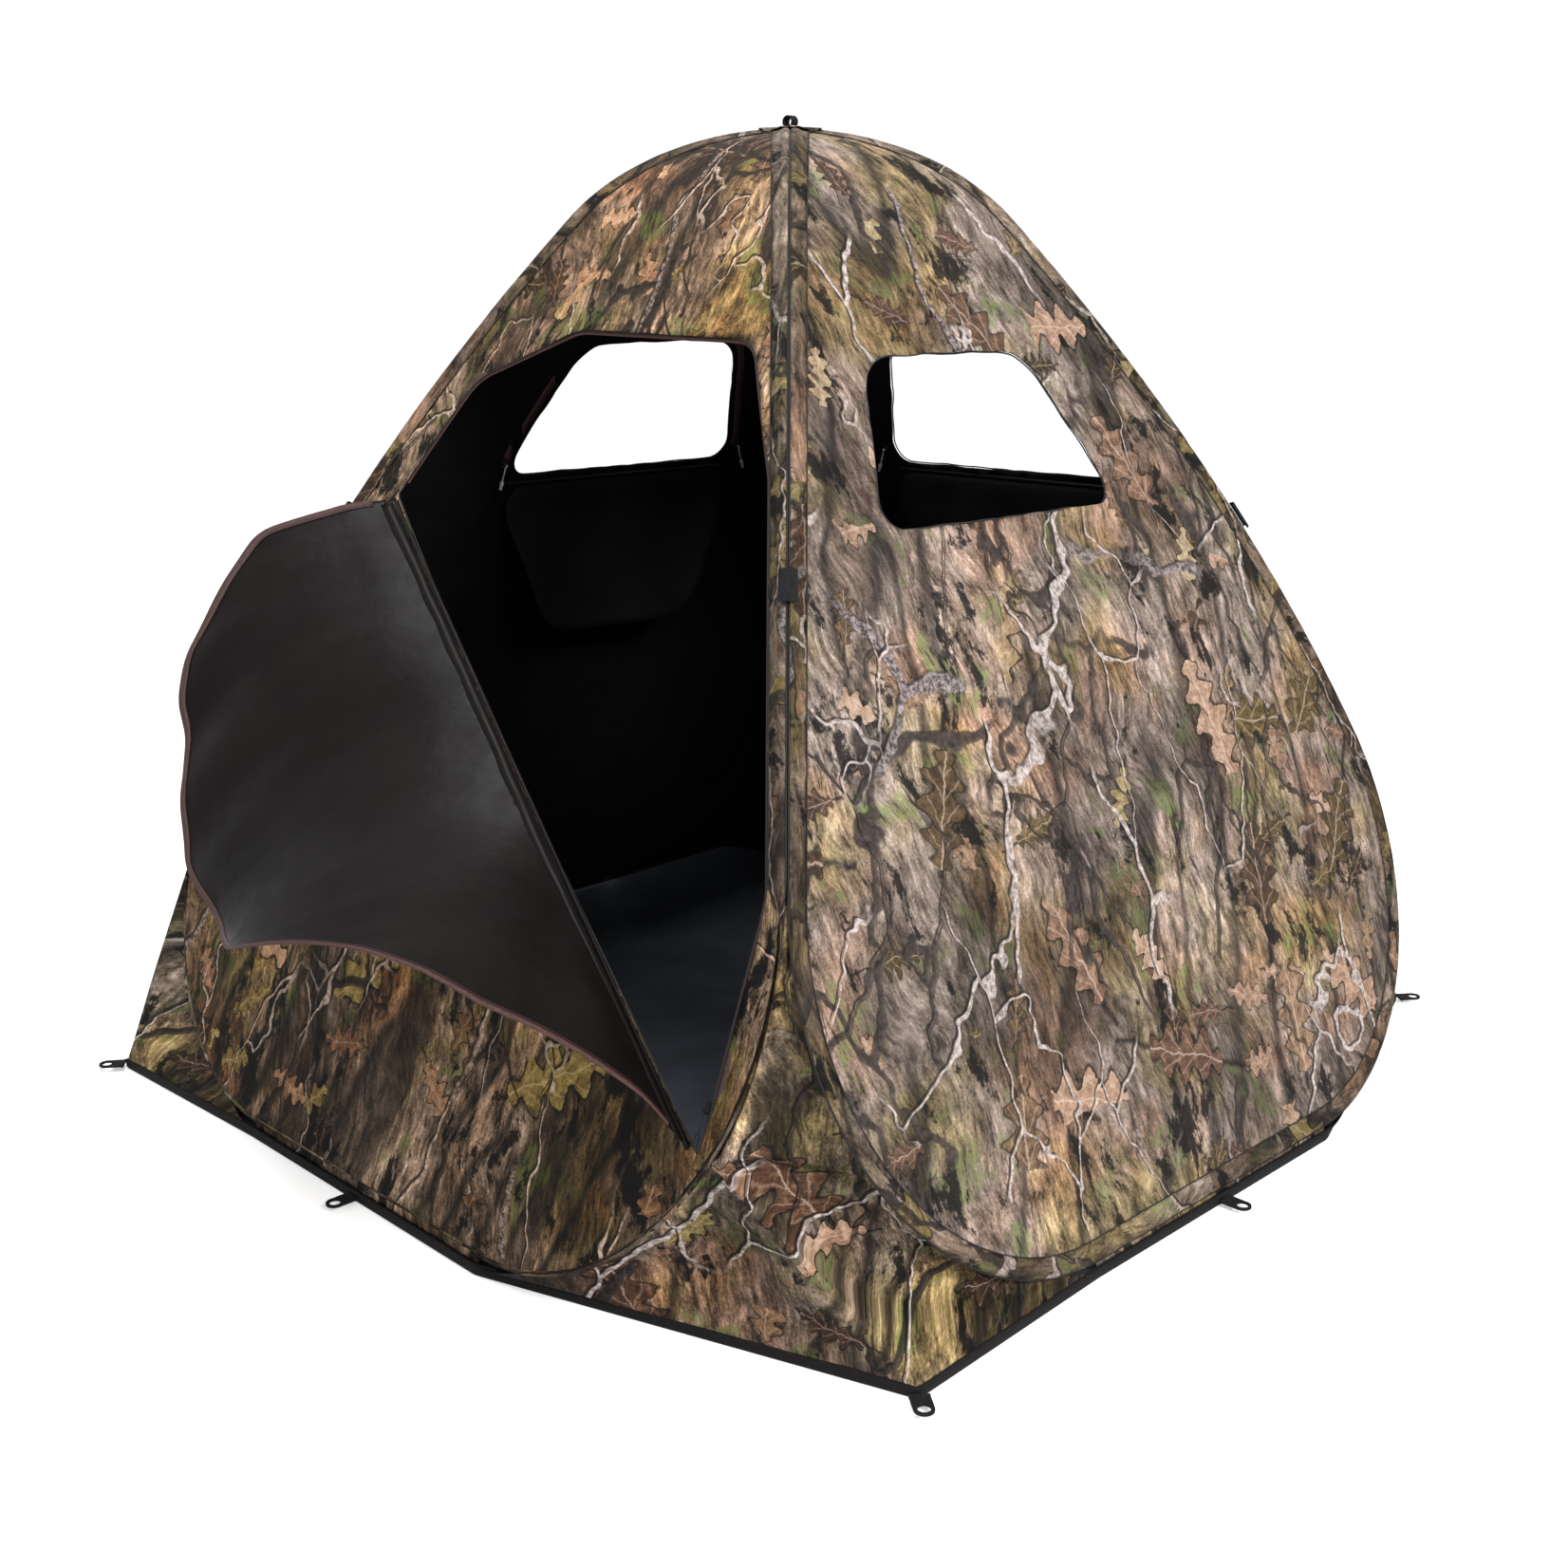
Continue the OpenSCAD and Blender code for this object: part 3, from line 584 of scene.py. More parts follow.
def camo(name, shift, gain, gamma):
    """The printed outer fabric. Each piece is cut from another part of the cloth."""
    m, g, shader = new_material(name, 0.74, 0.18)
    uv = g.node("UVMap", uv_map="Fabric").outputs[0]
    place = g.vector("ADD", uv, (*shift, 0.0))
    group = g.node("Group", node_tree=print_group)
    g.put(place, group.inputs[0])
    curve = g.fed("Gamma", (group.outputs[0], gamma))
    g.put(g.mix(1.0, curve.outputs[0], gain, "MULTIPLY"), shader.inputs["Base Color"])
    creases = g.noise(g.join(g.split(place)[0], g.times(g.split(place)[1], 0.45)), 22.0, 4.0, 0.6)
    normal = g.bump(creases, 0.35, 6 * MM)
    g.put(g.bump(weave(g, uv, WEAVE_PITCH), 0.25, WEAVE_DEPTH, normal), shader.inputs["Normal"])
    return m


def coating(name, colour, roughness, shine):
    """The black coated inner face."""
    m, g, shader = new_material(name, shine=shine)
    uv = g.node("UVMap", uv_map="Fabric").outputs[0]
    soft = g.noise(uv, 7.0, 4.0, 0.55)
    g.put(g.toned(g.span(soft, 0.35, 0.65), colour, 0.85, 1.2), shader.inputs["Base Color"])
    g.put(g.span(g.noise(uv, 16.0, 3.0), 0.3, 0.7, roughness - 0.06, roughness + 0.06),
          shader.inputs["Roughness"])
    normal = g.bump(g.noise(uv, 12.0, 4.0, 0.55), 0.30, 8 * MM)
    g.put(g.bump(weave(g, uv, WEAVE_PITCH), 0.15, WEAVE_DEPTH, normal), shader.inputs["Normal"])
    return m


def webbing(name, colour, ribs=0.0022, roughness=0.72):
    """Woven tape with ribs across it."""
    m, g, shader = new_material(name, roughness, 0.2)
    place = g.node("TexCoord").outputs["Object"]
    yarn = g.noise(place, 260.0, 3.0)
    g.put(g.toned(g.span(yarn, 0.3, 0.7), colour, 0.7, 1.35), shader.inputs["Base Color"])
    x, y, z = g.split(place)
    rib = g.math("SINE", g.times(g.plus(g.plus(x, y), z), TAU / ribs))
    g.put(g.bump(g.plus(rib, yarn), 0.5, 0.3 * MM), shader.inputs["Normal"])
    return m


def zip_tape(name, colour):
    """Zipper tape: a woven strip whose middle is a coil of teeth."""
    m, g, shader = new_material(name)
    uv = g.node("UVMap", uv_map="Fabric").outputs[0]
    x, y, _ = g.split(uv)
    teeth = g.math("SINE", g.times(x, TAU / TOOTH_PITCH))
    coil = g.span(g.math("ABSOLUTE", y), 1.8 * MM, 2.6 * MM, 1.0, 0.0)
    base = g.toned(g.span(g.noise(uv, 180.0, 3.0), 0.3, 0.7), colour, 0.75, 1.3)
    g.put(g.mix(g.times(coil, 0.85), base, tuple(c * 0.45 for c in colour)), shader.inputs["Base Color"])
    g.put(g.span(coil, 0.0, 1.0, 0.75, 0.42), shader.inputs["Roughness"])
    height = g.plus(g.times(teeth, coil), g.times(weave(g, uv, TAPE_PITCH), 0.2))
    g.put(g.bump(height, 0.6, 0.6 * MM), shader.inputs["Normal"])
    return m


camo_walls = {
    "right": camo("Camo_right", (3.1, 2.4), (2.00, 2.12, 2.75), 1.20),
    "door": camo("Camo_door", (11.6, 7.2), (3.45, 3.40, 3.90), 1.55),
    "back": camo("Camo_back", (21.3, 13.8), (2.00, 2.12, 2.75), 1.20),
    "left": camo("Camo_left", (33.9, 18.1), (2.00, 2.12, 2.75), 1.20),
}
camo_trim = camo("Camo_trim", (47.2, 31.5), (1.45, 1.50, 1.80), 1.25)
camo_gusset = camo("Camo_gusset", (52.7, 4.9), (3.50, 4.00, 5.80), 1.60)
inner_black = coating("Coating_inside", (0.0035, 0.0038, 0.0035), 0.70, 0.12)
flap_black = coating("Coating_flap", (0.0062, 0.0048, 0.0045), 0.42, 0.11)
floor_black = coating("Floor_cloth", (0.050, 0.056, 0.070), 0.65, 0.2)
binding_black = webbing("Binding_black", (0.006, 0.005, 0.005))
webbing_black = webbing("Webbing_black", (0.007, 0.007, 0.008), 0.0030)
zipper_brown = zip_tape("Zipper_brown", (0.060, 0.022, 0.019))
# Black for thread and rolled edges, and for the painted shade of the gap beside each sleeve.
black_thread_and_gap_shade = plain("Black_thread_and_gap_shade", (0.010, 0.009, 0.009), 0.8)
slider_black = plain("Slider_black", (0.014, 0.014, 0.015), 0.32, 0.0, 0.1)
spring_steel = plain("Spring_steel", (0.50, 0.51, 0.53), 0.32, 1.0)
ferrule_metal = plain("Ferrule_metal", (0.62, 0.63, 0.65), 0.38, 1.0)
cord_pale = webbing("Cord_pale", (0.40, 0.375, 0.34), 0.0018, 0.65)
cord_black = webbing("Cord_black", (0.016, 0.016, 0.017), 0.0018, 0.65)

# ---- Hoop line of a wall, in u and s ----

seam_offset = (SLEEVE + 0.4 * MM) * math.sqrt(2)
hoop_bottom = HEM_HEIGHT + SLEEVE + 2.4 * MM
corner_height = hoop_bottom + HOOP_CORNER
split_height = corner_height + HOOP_CORNER * math.sin(WALL_LEAN)
corner_u = float(reach(split_height)) - seam_offset - HOOP_CORNER * math.cos(WALL_LEAN)
TIP_RADIUS = 45 * MM
tip_start = seam_offset + TIP_RADIUS / math.sqrt(2)
tip_centre = seam_offset + TIP_RADIUS * math.sqrt(2)


def corner_arc(angles):
    """The hoop's lower corner, in u and s, by angle in radians."""
    u = corner_u + HOOP_CORNER * np.cos(angles)
    return np.stack([u, slope_of_height(corner_height + HOOP_CORNER * np.sin(angles))], 1)


def hoop_line(spacing):
    """The whole closed hoop, anticlockwise from the middle of its foot."""
    arc = corner_arc(np.linspace(-math.pi / 2, WALL_LEAN, 60))
    seam_s = np.linspace(slope_of_height(split_height), slope_of_reach(tip_start), 120)[1:]
    seam = np.stack([profile(seam_s)[0] - seam_offset, seam_s], 1)
    a = np.linspace(math.radians(135), math.pi, 14)[1:]
    tip_u = TIP_RADIUS * np.sin(a)
    tip = np.stack([tip_u, slope_of_reach(tip_centre + TIP_RADIUS * np.cos(a))], 1)
    half = np.concatenate([[[0.0, arc[0][1]]], arc, seam, tip])
    other = half[::-1] * [-1, 1]
    return resample(np.concatenate([half, other[1:-1]]), spacing)


fine = 0.0095
LINE_STEP = 8 * MM
hoop_uv = hoop_line(0.012)


def rounded(last, here, ahead, radius, steps):
    """Points round one corner of an outline."""
    last, here, ahead = (np.asarray(p, float) for p in (last, here, ahead))
    back = (last - here) / np.linalg.norm(last - here)
    on = (ahead - here) / np.linalg.norm(ahead - here)
    half = math.acos(float(back @ on)) / 2
    middle = here + (back + on) / np.linalg.norm(back + on) * radius / math.sin(half)
    first = here + back * radius / math.tan(half) - middle
    start = math.atan2(first[1], first[0])
    return [middle + radius * np.array([math.cos(start + t), math.sin(start + t)])
            for t in np.linspace(0, math.pi - 2 * half, steps)]


def window_outline(grow, ripple=0.0):
    """A window's rounded outline in u and s, grown outwards."""
    corners = np.array([[-SILL_HALF, 0], [SILL_HALF, 0],
                        [WINDOW_TOP_HALF, WINDOW_HEIGHT], [-WINDOW_TOP_HALF, WINDOW_HEIGHT]])
    corners += [WINDOW_SHIFT, SILL]
    points = []
    for i, radius in enumerate(WINDOW_RADII):
        points += rounded(corners[i - 1], corners[i], corners[(i + 1) % 4], radius, 9)
    outline = to_slope(inset(resample(points, LINE_STEP), -grow))
    if ripple:
        travelled = lengths(outline)
        push = ripple * (cloud(travelled / 0.05, 0.0, 3.0) + 0.5 * cloud(travelled / 0.017, 4.0, 5.0))
        away = outline - outline.mean(0)
        outline = outline + away / np.linalg.norm(away, axis=1)[:, None] * push[:, None]
    return outline


def door_outline_z():
    """The door opening in u and z, anticlockwise from the foot of its hinge line."""
    side = [[min(HINGE_LOW[0], float(reach(z)) - DOOR_EDGE), z] for z in np.arange(0.480, 1.021, 0.03)]
    top = [side[-1], [0.275, 1.152], [-0.090, 1.158], [-0.285, 1.085], list(HINGE_TOP)]
    points = [list(HINGE_LOW), *side[:-1]]
    for i, radius in enumerate(DOOR_RADII):
        points += rounded(top[i], top[i + 1], top[i + 2], radius, 8)
    points.append(list(HINGE_TOP))
    return np.array(points)


door_z = resample(door_outline_z(), LINE_STEP)
hinge_flat = (HINGE_TOP - HINGE_LOW) / np.linalg.norm(HINGE_TOP - HINGE_LOW)
hinge_side = np.array([hinge_flat[1], -hinge_flat[0]])


def pushed_at_hinge(points, room):
    """Points near the hinge line, moved across it."""
    gap = (points - HINGE_LOW) @ hinge_side
    return points - np.where(gap < 0.004, room, 0)[:, None] * hinge_side


# ---- Walls ----

SAG = 4.0 * MM
RIPPLE = 1.3 * MM
CRINKLE = 0.5 * MM
PUCKER = 1.1 * MM
CORNER_PULL = 1.6 * MM


def wall_drape(points, outline, holes, seed):
    """How far the cloth stands off its smooth shape."""
    u, s = points[:, 0], points[:, 1]
    gap, index = nearest(points, outline)
    along = lengths(outline)[index]
    calm = smooth(0.0, 0.09, gap)
    out = calm * SAG * cloud(u * 3.3 + 5, s * 2.4, seed)
    out += calm * RIPPLE * cloud(u * 16 + s * 3, s * 3.1, seed + 1)
    out += smooth(0, 0.03, gap) * CRINKLE * cloud(u * 45, s * 9, seed + 2)
    pucker = np.exp(-gap / 0.022) * smooth(0.0, 0.006, gap)
    out += pucker * PUCKER * cloud(along / 0.013, gap * 30, seed + 3)
    for hole in holes:
        rim, rim_index = nearest(points, hole)
        rim_along = lengths(hole)[rim_index]
        out += PUCKER * np.exp(-rim / 0.03) * cloud(rim_along / 0.035, rim * 8, seed + 4)
        for corner in (hole[np.argmin(hole @ [1, 1])], hole[np.argmin(hole @ [-1, 1])]):
            d = points - corner
            r = np.linalg.norm(d, axis=1)
            angle = np.arctan2(d[:, 1], d[:, 0])
            out += CORNER_PULL * np.exp(-r / 0.11) * smooth(0.01, 0.05, r) * np.sin(angle * 9 + seed)
    return out


WALL_MARGIN = 3.5 * MM
HIDDEN_RIDGE = 2.5 * MM
FERRULE_RIDGE = 2.4 * MM


def near_ferrule(u, s):
    """1 where the hoop's ferrule sits, at the middle of its foot."""
    return (1 - smooth(0.024, 0.045, np.abs(u))) * (s < slope_of_height(corner_height))


def hidden_share(points_u_s):
    """1 where the door wall's cloth covers its hoop, 0 up the seams where the sleeve shows."""
    height = profile(points_u_s[:, 1])[1]
    return 1 - smooth(split_height - 0.03, split_height + 0.03, height)


def build_wall(wall, holes, seed):
    outline = inset(hoop_uv, WALL_MARGIN)
    flat, faces = sheet(outline, holes, fine)
    drape = wall_drape(flat, outline, holes, seed)
    if wall == "door":
        gap = nearest(flat, outline)[0]
        ridge = HIDDEN_RIDGE + FERRULE_RIDGE * near_ferrule(flat[:, 0], flat[:, 1])
        drape += ridge * np.exp(-(gap / 0.016) ** 2) * hidden_share(flat)
    points = on_wall(wall, flat[:, 0], flat[:, 1], drape)
    obj = piece(f"{wall}_wall_cloth", points, faces, flat, [camo_walls[wall], inner_black],
                replaces=[f"{wall}_wall"])
    return thicken(obj, FABRIC)


window_hole = window_outline(0.0, 0.0016)
for k, wall in enumerate(WINDOW_WALLS):
    build_wall(wall, [window_hole], 11.0 + 7 * k)
door_hole = to_slope(pushed_at_hinge(door_z, 0.0032))
build_wall("door", [door_hole], 41.0)

# ---- Sleeves along the hoops, and the stitched band inside them ----

band_section = np.array([
    [0.6, 21.0], [1.9, 15.0], [2.7, 9.0], [4.6, 5.0], [5.6, 1.0], [5.1, -2.6], [2.9, -4.9], [0.0, -5.6],
    [-2.9, -4.9], [-5.1, -2.6], [-5.6, 1.0], [-4.6, 5.0], [-3.0, 9.0], [-2.4, 15.0], [-1.9, 21.0]]) * MM
thin_section = np.array([
    [0.3, 7.0], [1.0, 5.2], [1.5, 3.4], [1.8, 0.5], [1.5, -2.6], [0.7, -3.6], [0.0, -3.8],
    [-0.7, -3.6], [-1.5, -2.6], [-1.8, 0.5], [-1.5, 3.4], [-1.0, 5.2], [-0.3, 7.0]]) * MM


def hoop_points(wall, out=0.0):
    path = on_wall(wall, hoop_uv[:, 0], hoop_uv[:, 1], out)
    outs = on_wall(wall, hoop_uv[:, 0], hoop_uv[:, 1], out + 1.0) - path
    return path, outs


def build_sleeve(wall, seed):
    path, outs = hoop_points(wall)
    travelled = lengths(path)
    puff = 1 + 0.045 * cloud(travelled / 0.020, 0, seed) + 0.03 * cloud(travelled / 0.008, 3, seed)
    section = band_section
    if wall == "door":
        section = np.vstack([band_section[:1], band_section[2:13], band_section[14:]])
    points, faces, uv = swept(path, outs, section, scale=puff)
    if wall == "door":
        wide_at_ferrule = 1 + 1.25 * near_ferrule(hoop_uv[:, 0], hoop_uv[:, 1])
        hidden, _, _ = swept(path, outs, thin_section, scale=wide_at_ferrule)
        share = np.repeat(hidden_share(hoop_uv), len(section))[:, None]
        points = points * (1 - share) + hidden * share
    middle = (section + np.roll(section, -1, 0))[:, 0] / 2
    inward = np.tile(middle < -0.3 * MM, len(path))
    return piece(f"{wall}_sleeve_cloth", points, faces, uv[:, ::-1], [camo_trim, inner_black],
                 replaces=[f"{wall}_sleeve"], face_material=inward)


for k, wall in enumerate(TURNS):
    build_sleeve(wall, 60.0 + k)


ROLL_SIDES = 6


def build_seam_and_gap_shade(wall):
    """Dark lines on the two edges of a sleeve band: a thin dark seam line on its sewn edge, and a black
    roll beside its tube that is painted shade, standing for the shadowed gap between the sleeve and the
    cloth beside it.
    """
    path, outs = hoop_points(wall)
    parts, faces, uvs, start = [], [], [], 0
    # The first roll is the thin seam line; the second is painted shade, a black roll for the shadowed gap
    # beside the sleeve.
    for out, side, radius in ((0.9, 21.2, 0.85), (0.2, -6.0, 1.25)):
        centre = np.array([out, side]) * MM
        p, f, uv = swept(path, outs, ring(radius * MM, ROLL_SIDES) + centre)
        if wall == "door":
            share = np.repeat(hidden_share(hoop_uv), ROLL_SIDES)[:, None]
            q, _, _ = swept(path, outs, ring(radius * MM * 0.3, ROLL_SIDES))
            p = p * (1 - share) + q * share
        parts.append(p)
        faces += [tuple(i + start for i in face) for face in f]
        uvs.append(uv)
        start += len(p)
    piece(f"{wall}_sleeve_seam_and_gap_shade", np.concatenate(parts), faces, np.concatenate(uvs), [black_thread_and_gap_shade])


for wall in TURNS:
    build_seam_and_gap_shade(wall)

# ---- Hem, gussets, skirts and floor ----

stake_reach = STAKE_SIDE / math.sqrt(2)


def stake_point(degrees):
    a = math.radians(degrees) + FLOOR_TWIST
    return stake_reach * np.array([math.cos(a), math.sin(a)])


def turned(p, degrees):
    a = math.radians(degrees)
    c, k = math.cos(a), math.sin(a)
    p = np.asarray(p, float)
    return np.concatenate([np.stack([p[..., 0] * c - p[..., 1] * k, p[..., 0] * k + p[..., 1] * c], -1),
                           p[..., 2:]], -1)


hem_corners = []
for turn in (0, 90, 180, 270):
    hem_corners += [turned([FOOT, -corner_u], turn), turned([FOOT, corner_u], turn), stake_point(turn + 45)]
hem_line = resample(hem_corners, 0.010)


def build_hem():
    waver = cloud(lengths(hem_line) / 0.06, 0, 5.0)
    parts = []
    top = HEM_HEIGHT + 0.0008 * waver
    for z, grow in ((0.3, 0.8), (4, 2.1), (9, 2.3), (None, 1.6), (None, -1.0), (9, -1.4), (0.3, -1.2)):
        height = top if z is None else np.full(len(hem_line), z * MM)
        parts.append(np.column_stack([inset(hem_line, -grow * MM), height]))
    points = np.stack(parts, 1)
    rows, columns = points.shape[:2]
    faces = grid_faces(rows, columns, True, True)
    travelled = lengths(hem_line)
    uv = np.stack(np.broadcast_arrays(travelled[:, None], np.arange(columns)[None] * 0.006), -1)
    return piece("hem_tape", points, [f[::-1] for f in faces], uv, [binding_black],
                 replaces=["hem_binding"])


build_hem()


def build_floor():
    outline = resample(inset(hem_line, 0.004), 0.014)
    flat, faces = sheet(outline, [], 0.030)
    gap = nearest(flat, outline)[0]
    lift = smooth(0, 0.12, gap) * (0.0016 + 0.0016 * cloud(flat[:, 0] * 5, flat[:, 1] * 5, 8.0)
                                   + 0.0010 * cloud(flat[:, 0] * 17, flat[:, 1] * 9, 9.0))
    lift += 0.006 * (1 - smooth(0, 0.025, gap))
    points = np.column_stack([flat, 0.0004 + lift])
    return piece("floor_cloth", points, faces, flat, [floor_black],
                 replaces=["floor_sheet"])


build_floor()

arc_steps = 140
side_steps = 36
UNDER_HOOP = 1 * MM
GUSSET_FOOT = HEM_HEIGHT - 3 * MM
KNOT = 0.40
SEAM_ACROSS = np.array([-math.sqrt(0.5), math.sqrt(0.5)])


def surface_normal(grid):
    down = np.gradient(grid, axis=0)
    across = np.gradient(grid, axis=1)
    n = np.cross(across, down)
    size = np.linalg.norm(n, axis=2)[..., None]
    return n / np.maximum(size, 1e-9)


def gusset_edges(covers_first):
    """The two hoops' corner arcs, let down to the hem at their feet."""
    t = np.linspace(0, 1, arc_steps)
    arc = corner_arc(WALL_LEAN + (-math.pi / 2 - WALL_LEAN) * t)
    x, z, lean = profile(arc[:, 1])
    lift = HIDDEN_RIDGE if covers_first else -UNDER_HOOP
    a = np.stack([x + lift * np.cos(lean), arc[:, 0], z + lift * np.sin(lean)], 1)
    b = np.stack([arc[:, 0], x - UNDER_HOOP * np.cos(lean), z - UNDER_HOOP * np.sin(lean)], 1)
    drop = smooth(0.86, 1.0, t)
    for edge, side in ((a, 0), (b, 1)):
        edge[:, 2] = edge[:, 2] * (1 - drop) + GUSSET_FOOT * drop
        edge[:, side] = edge[:, side] * (1 - drop) + (FOOT + 0.5 * MM) * drop
    return t, a, b


def gusset_crease(t, a, b, pulled):
    """The line to the stake where the two halves of a gusset meet; a pulled one starts part way down."""
    stake = np.array([*stake_point(45), GUSSET_FOOT])
    if not pulled:
        top = (a[0] + b[0]) / 2
        return top + (stake - top) * t[:, None]
    start = a[int(round(KNOT * (arc_steps - 1)))]
    share = np.clip((t - KNOT) / (1 - KNOT), 0, 1)[:, None]
    beside = a + 0.06 * (b - a)
    crease = np.where(t[:, None] < KNOT, beside, start + (stake - start) * share)
    soften = smooth(KNOT - 0.08, KNOT + 0.06, t)[:, None]
    return beside * (1 - soften) + crease * soften


def tension_folds(tt, ww):
    """Folds that run from the knot across a pulled gusset, and a hollow beside its crease."""
    folds = 0
    for centre, deep, wide in ((0.375, 8.0, 0.018), (0.425, -7.5, 0.017), (0.475, 6.0, 0.018),
                               (0.525, -4.0, 0.018)):
        sway = 0.012 * cloud(ww * 2.3, 0.0, centre * 90)
        line = np.exp(-((tt - centre - sway - 0.015 * ww) / wide) ** 2)
        folds = folds + deep * MM * line * smooth(0.55, 1.1, ww) * (1 - smooth(1.8, 2.0, ww))
    across = np.exp(-((ww - 0.55) / 0.16) ** 2) * smooth(0.5, 0.7, tt) * (1 - smooth(0.9, 1.0, tt))
    return folds - 11 * MM * across


def build_gusset(name, turn, covers_first, pulled, seed):
    """Cloth between two hoops' lower corners, down to the stake point."""
    t, a, b = gusset_edges(covers_first)
    crease = gusset_crease(t, a, b, pulled)
    v = np.linspace(0, 1, side_steps)
    left = a[:, None] + (crease - a)[:, None] * v[None, :, None]
    right = crease[:, None] + (b - crease)[:, None] * v[None, 1:, None]
    grid = np.concatenate([left, right], 1)
    normal = surface_normal(grid)
    flip = np.sign((normal[..., 0] + normal[..., 1]).mean())
    w = np.concatenate([v, 1 + v[1:]])
    half = np.where(w <= 1, w, 2 - w)
    span = np.linalg.norm(b - a, axis=1)[:, None]
    ends = (smooth(0, 0.12, t) * (1 - smooth(0.72, 0.97, t)))[:, None]
    hold = np.sin(np.pi * half)[None] * ends
    belly = hold * np.minimum(span, 0.4) * (-0.10 if pulled else -0.035)
    ridge = np.exp(-((w[None] - 1) / 0.10) ** 2) * 2.2 * MM * ends
    tt = np.broadcast_to(t[:, None], grid.shape[:2])
    ww = np.broadcast_to(w[None], grid.shape[:2])
    fan = np.where(ww <= 1, ww, 2 - ww)
    folds = 3.0 * MM * cloud(fan * 7 + seed, tt * 1.6, seed) * hold
    folds = folds + 1.4 * MM * cloud(fan * 19, tt * 3.2, seed + 1) * hold
    if pulled:
        folds = folds + tension_folds(tt, ww)
        ridge = ridge * 3.6
    grid = grid + normal * flip * (belly + ridge + folds)[..., None]
    rows, columns = grid.shape[:2]
    uv = np.stack([grid[..., :2] @ SEAM_ACROSS, grid[..., 2] * 1.2], -1)
    faces = grid_faces(rows, columns)
    if flip < 0:
        faces = [f[::-1] for f in faces]
    obj = piece(name + "_cloth", turned(grid, turn), faces, uv, [camo_gusset, inner_black],
                replaces=[name])
    flat_normals_out(obj)
    return thicken(obj, FABRIC)


def flat_normals_out(obj):
    """Faces turned so that they look away from the middle of the tent."""
    mesh = obj.data
    total = sum((p.normal.dot(Vector((p.center.x, p.center.y, 0.3))) * p.area) for p in mesh.polygons)
    if total < 0:
        mesh.flip_normals()


build_gusset("front_right_gusset", -90, covers_first=True, pulled=True, seed=71.0)
for k, name in enumerate(("back_right_gusset", "back_left_gusset", "front_left_gusset")):
    build_gusset(name, 90 * k, covers_first=False, pulled=False, seed=75.0 + 4 * k)


def build_skirt(wall):
    """The strip of cloth under a hoop's straight foot."""
    u = np.linspace(-corner_u, corner_u, 60)
    top = HIDDEN_RIDGE if wall == "door" else -UNDER_HOOP
    rows = []
    for share in np.linspace(0, 1, 5):
        s = slope_of_height(hoop_bottom) * (1 - share) + slope_of_height(GUSSET_FOOT) * share
        out = top * (1 - share) + 0.8 * MM * cloud(u * 30, share, 4.0)
        rows.append(on_wall(wall, u, np.full(len(u), s), out))
    grid = np.stack(rows)
    uv = np.stack([np.broadcast_to(u, grid.shape[:2]), grid[..., 2]], -1)
    obj = piece(f"{wall}_skirt", grid, grid_faces(*grid.shape[:2]), uv,
                [camo_walls[wall], inner_black])
    flat_normals_out(obj)
    return thicken(obj, FABRIC)


for wall in TURNS:
    build_skirt(wall)

# ---- Door flap: one sheet folded out about the hinge line, more at the top ----

door_turn = TURNS["door"]
hinge_run = np.linalg.norm(HINGE_TOP - HINGE_LOW)


def closed_door(points_z, depth):
    """Closed places of points given in u and z, below the face."""
    return on_wall("door", points_z[:, 0], slope_of_height(points_z[:, 1]), -np.asarray(depth))


def hinge_end(p):
    return turned(np.array([float(reach(p[1])) + HINGE_STAND, p[0], p[1]]), door_turn)


hinge_from = hinge_end(HINGE_LOW)
hinge_to = hinge_end(HINGE_TOP)
hinge_length = np.linalg.norm(hinge_to - hinge_from)
hinge_along = (hinge_to - hinge_from) / hinge_length
BEND_FROM = 0.15 * hinge_length
BEND_TO = 0.62 * hinge_length


def along_hinge(points):
    return (points - hinge_from) @ hinge_along


# The hanging cloth curls by DRAPE_CURL over DRAPE_DEPTH, and is gathered, more beyond CORNER_FROM.
DRAPE_CURL = math.radians(45)
DRAPE_DEPTH = 0.5
GATHER = 0.96
CORNER_GATHER = 0.28
CORNER_FROM = 0.42
wall_normal = turned(np.array([math.cos(WALL_LEAN), 0, math.sin(WALL_LEAN)]), door_turn)
across_axis = np.cross(hinge_along, wall_normal)
across_axis /= np.linalg.norm(across_axis)
outward_axis = np.cross(across_axis, hinge_along)


def fold_out(points):
    """Turns closed points out about the hinge line; the cloth curls towards the wall as it hangs."""
    share = smooth(BEND_FROM, BEND_TO, along_hinge(points))
    angle = FOLD_LOW + (FOLD_HIGH - FOLD_LOW) * share
    rel = points - hinge_from
    axial = (rel @ hinge_along)[:, None] * hinge_along
    away = (rel - axial) @ across_axis
    away = away * GATHER - np.maximum(away - CORNER_FROM, 0) * CORNER_GATHER
    rise = (rel - axial) @ outward_axis
    curl = DRAPE_CURL / DRAPE_DEPTH
    first = angle - DRAPE_CURL / 2
    last = first + curl * away
    x = (np.sin(last) - np.sin(first)) / curl - rise * np.sin(last)
    y = (np.cos(first) - np.cos(last)) / curl + rise * np.cos(last)
    return hinge_from + axial + x[:, None] * across_axis + y[:, None] * outward_axis


def bends(obj):
    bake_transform(obj)
    return obj


def hinge_rise(points_z):
    """How far the straight hinge line stands off the curved wall beside these points."""
    share = np.clip((points_z - HINGE_LOW) @ hinge_flat / hinge_run, 0, 1)
    line = float(reach(HINGE_LOW[1])) * (1 - share) + float(reach(HINGE_TOP[1])) * share + HINGE_STAND
    return line - reach(HINGE_LOW[1] + share * (HINGE_TOP - HINGE_LOW)[1])


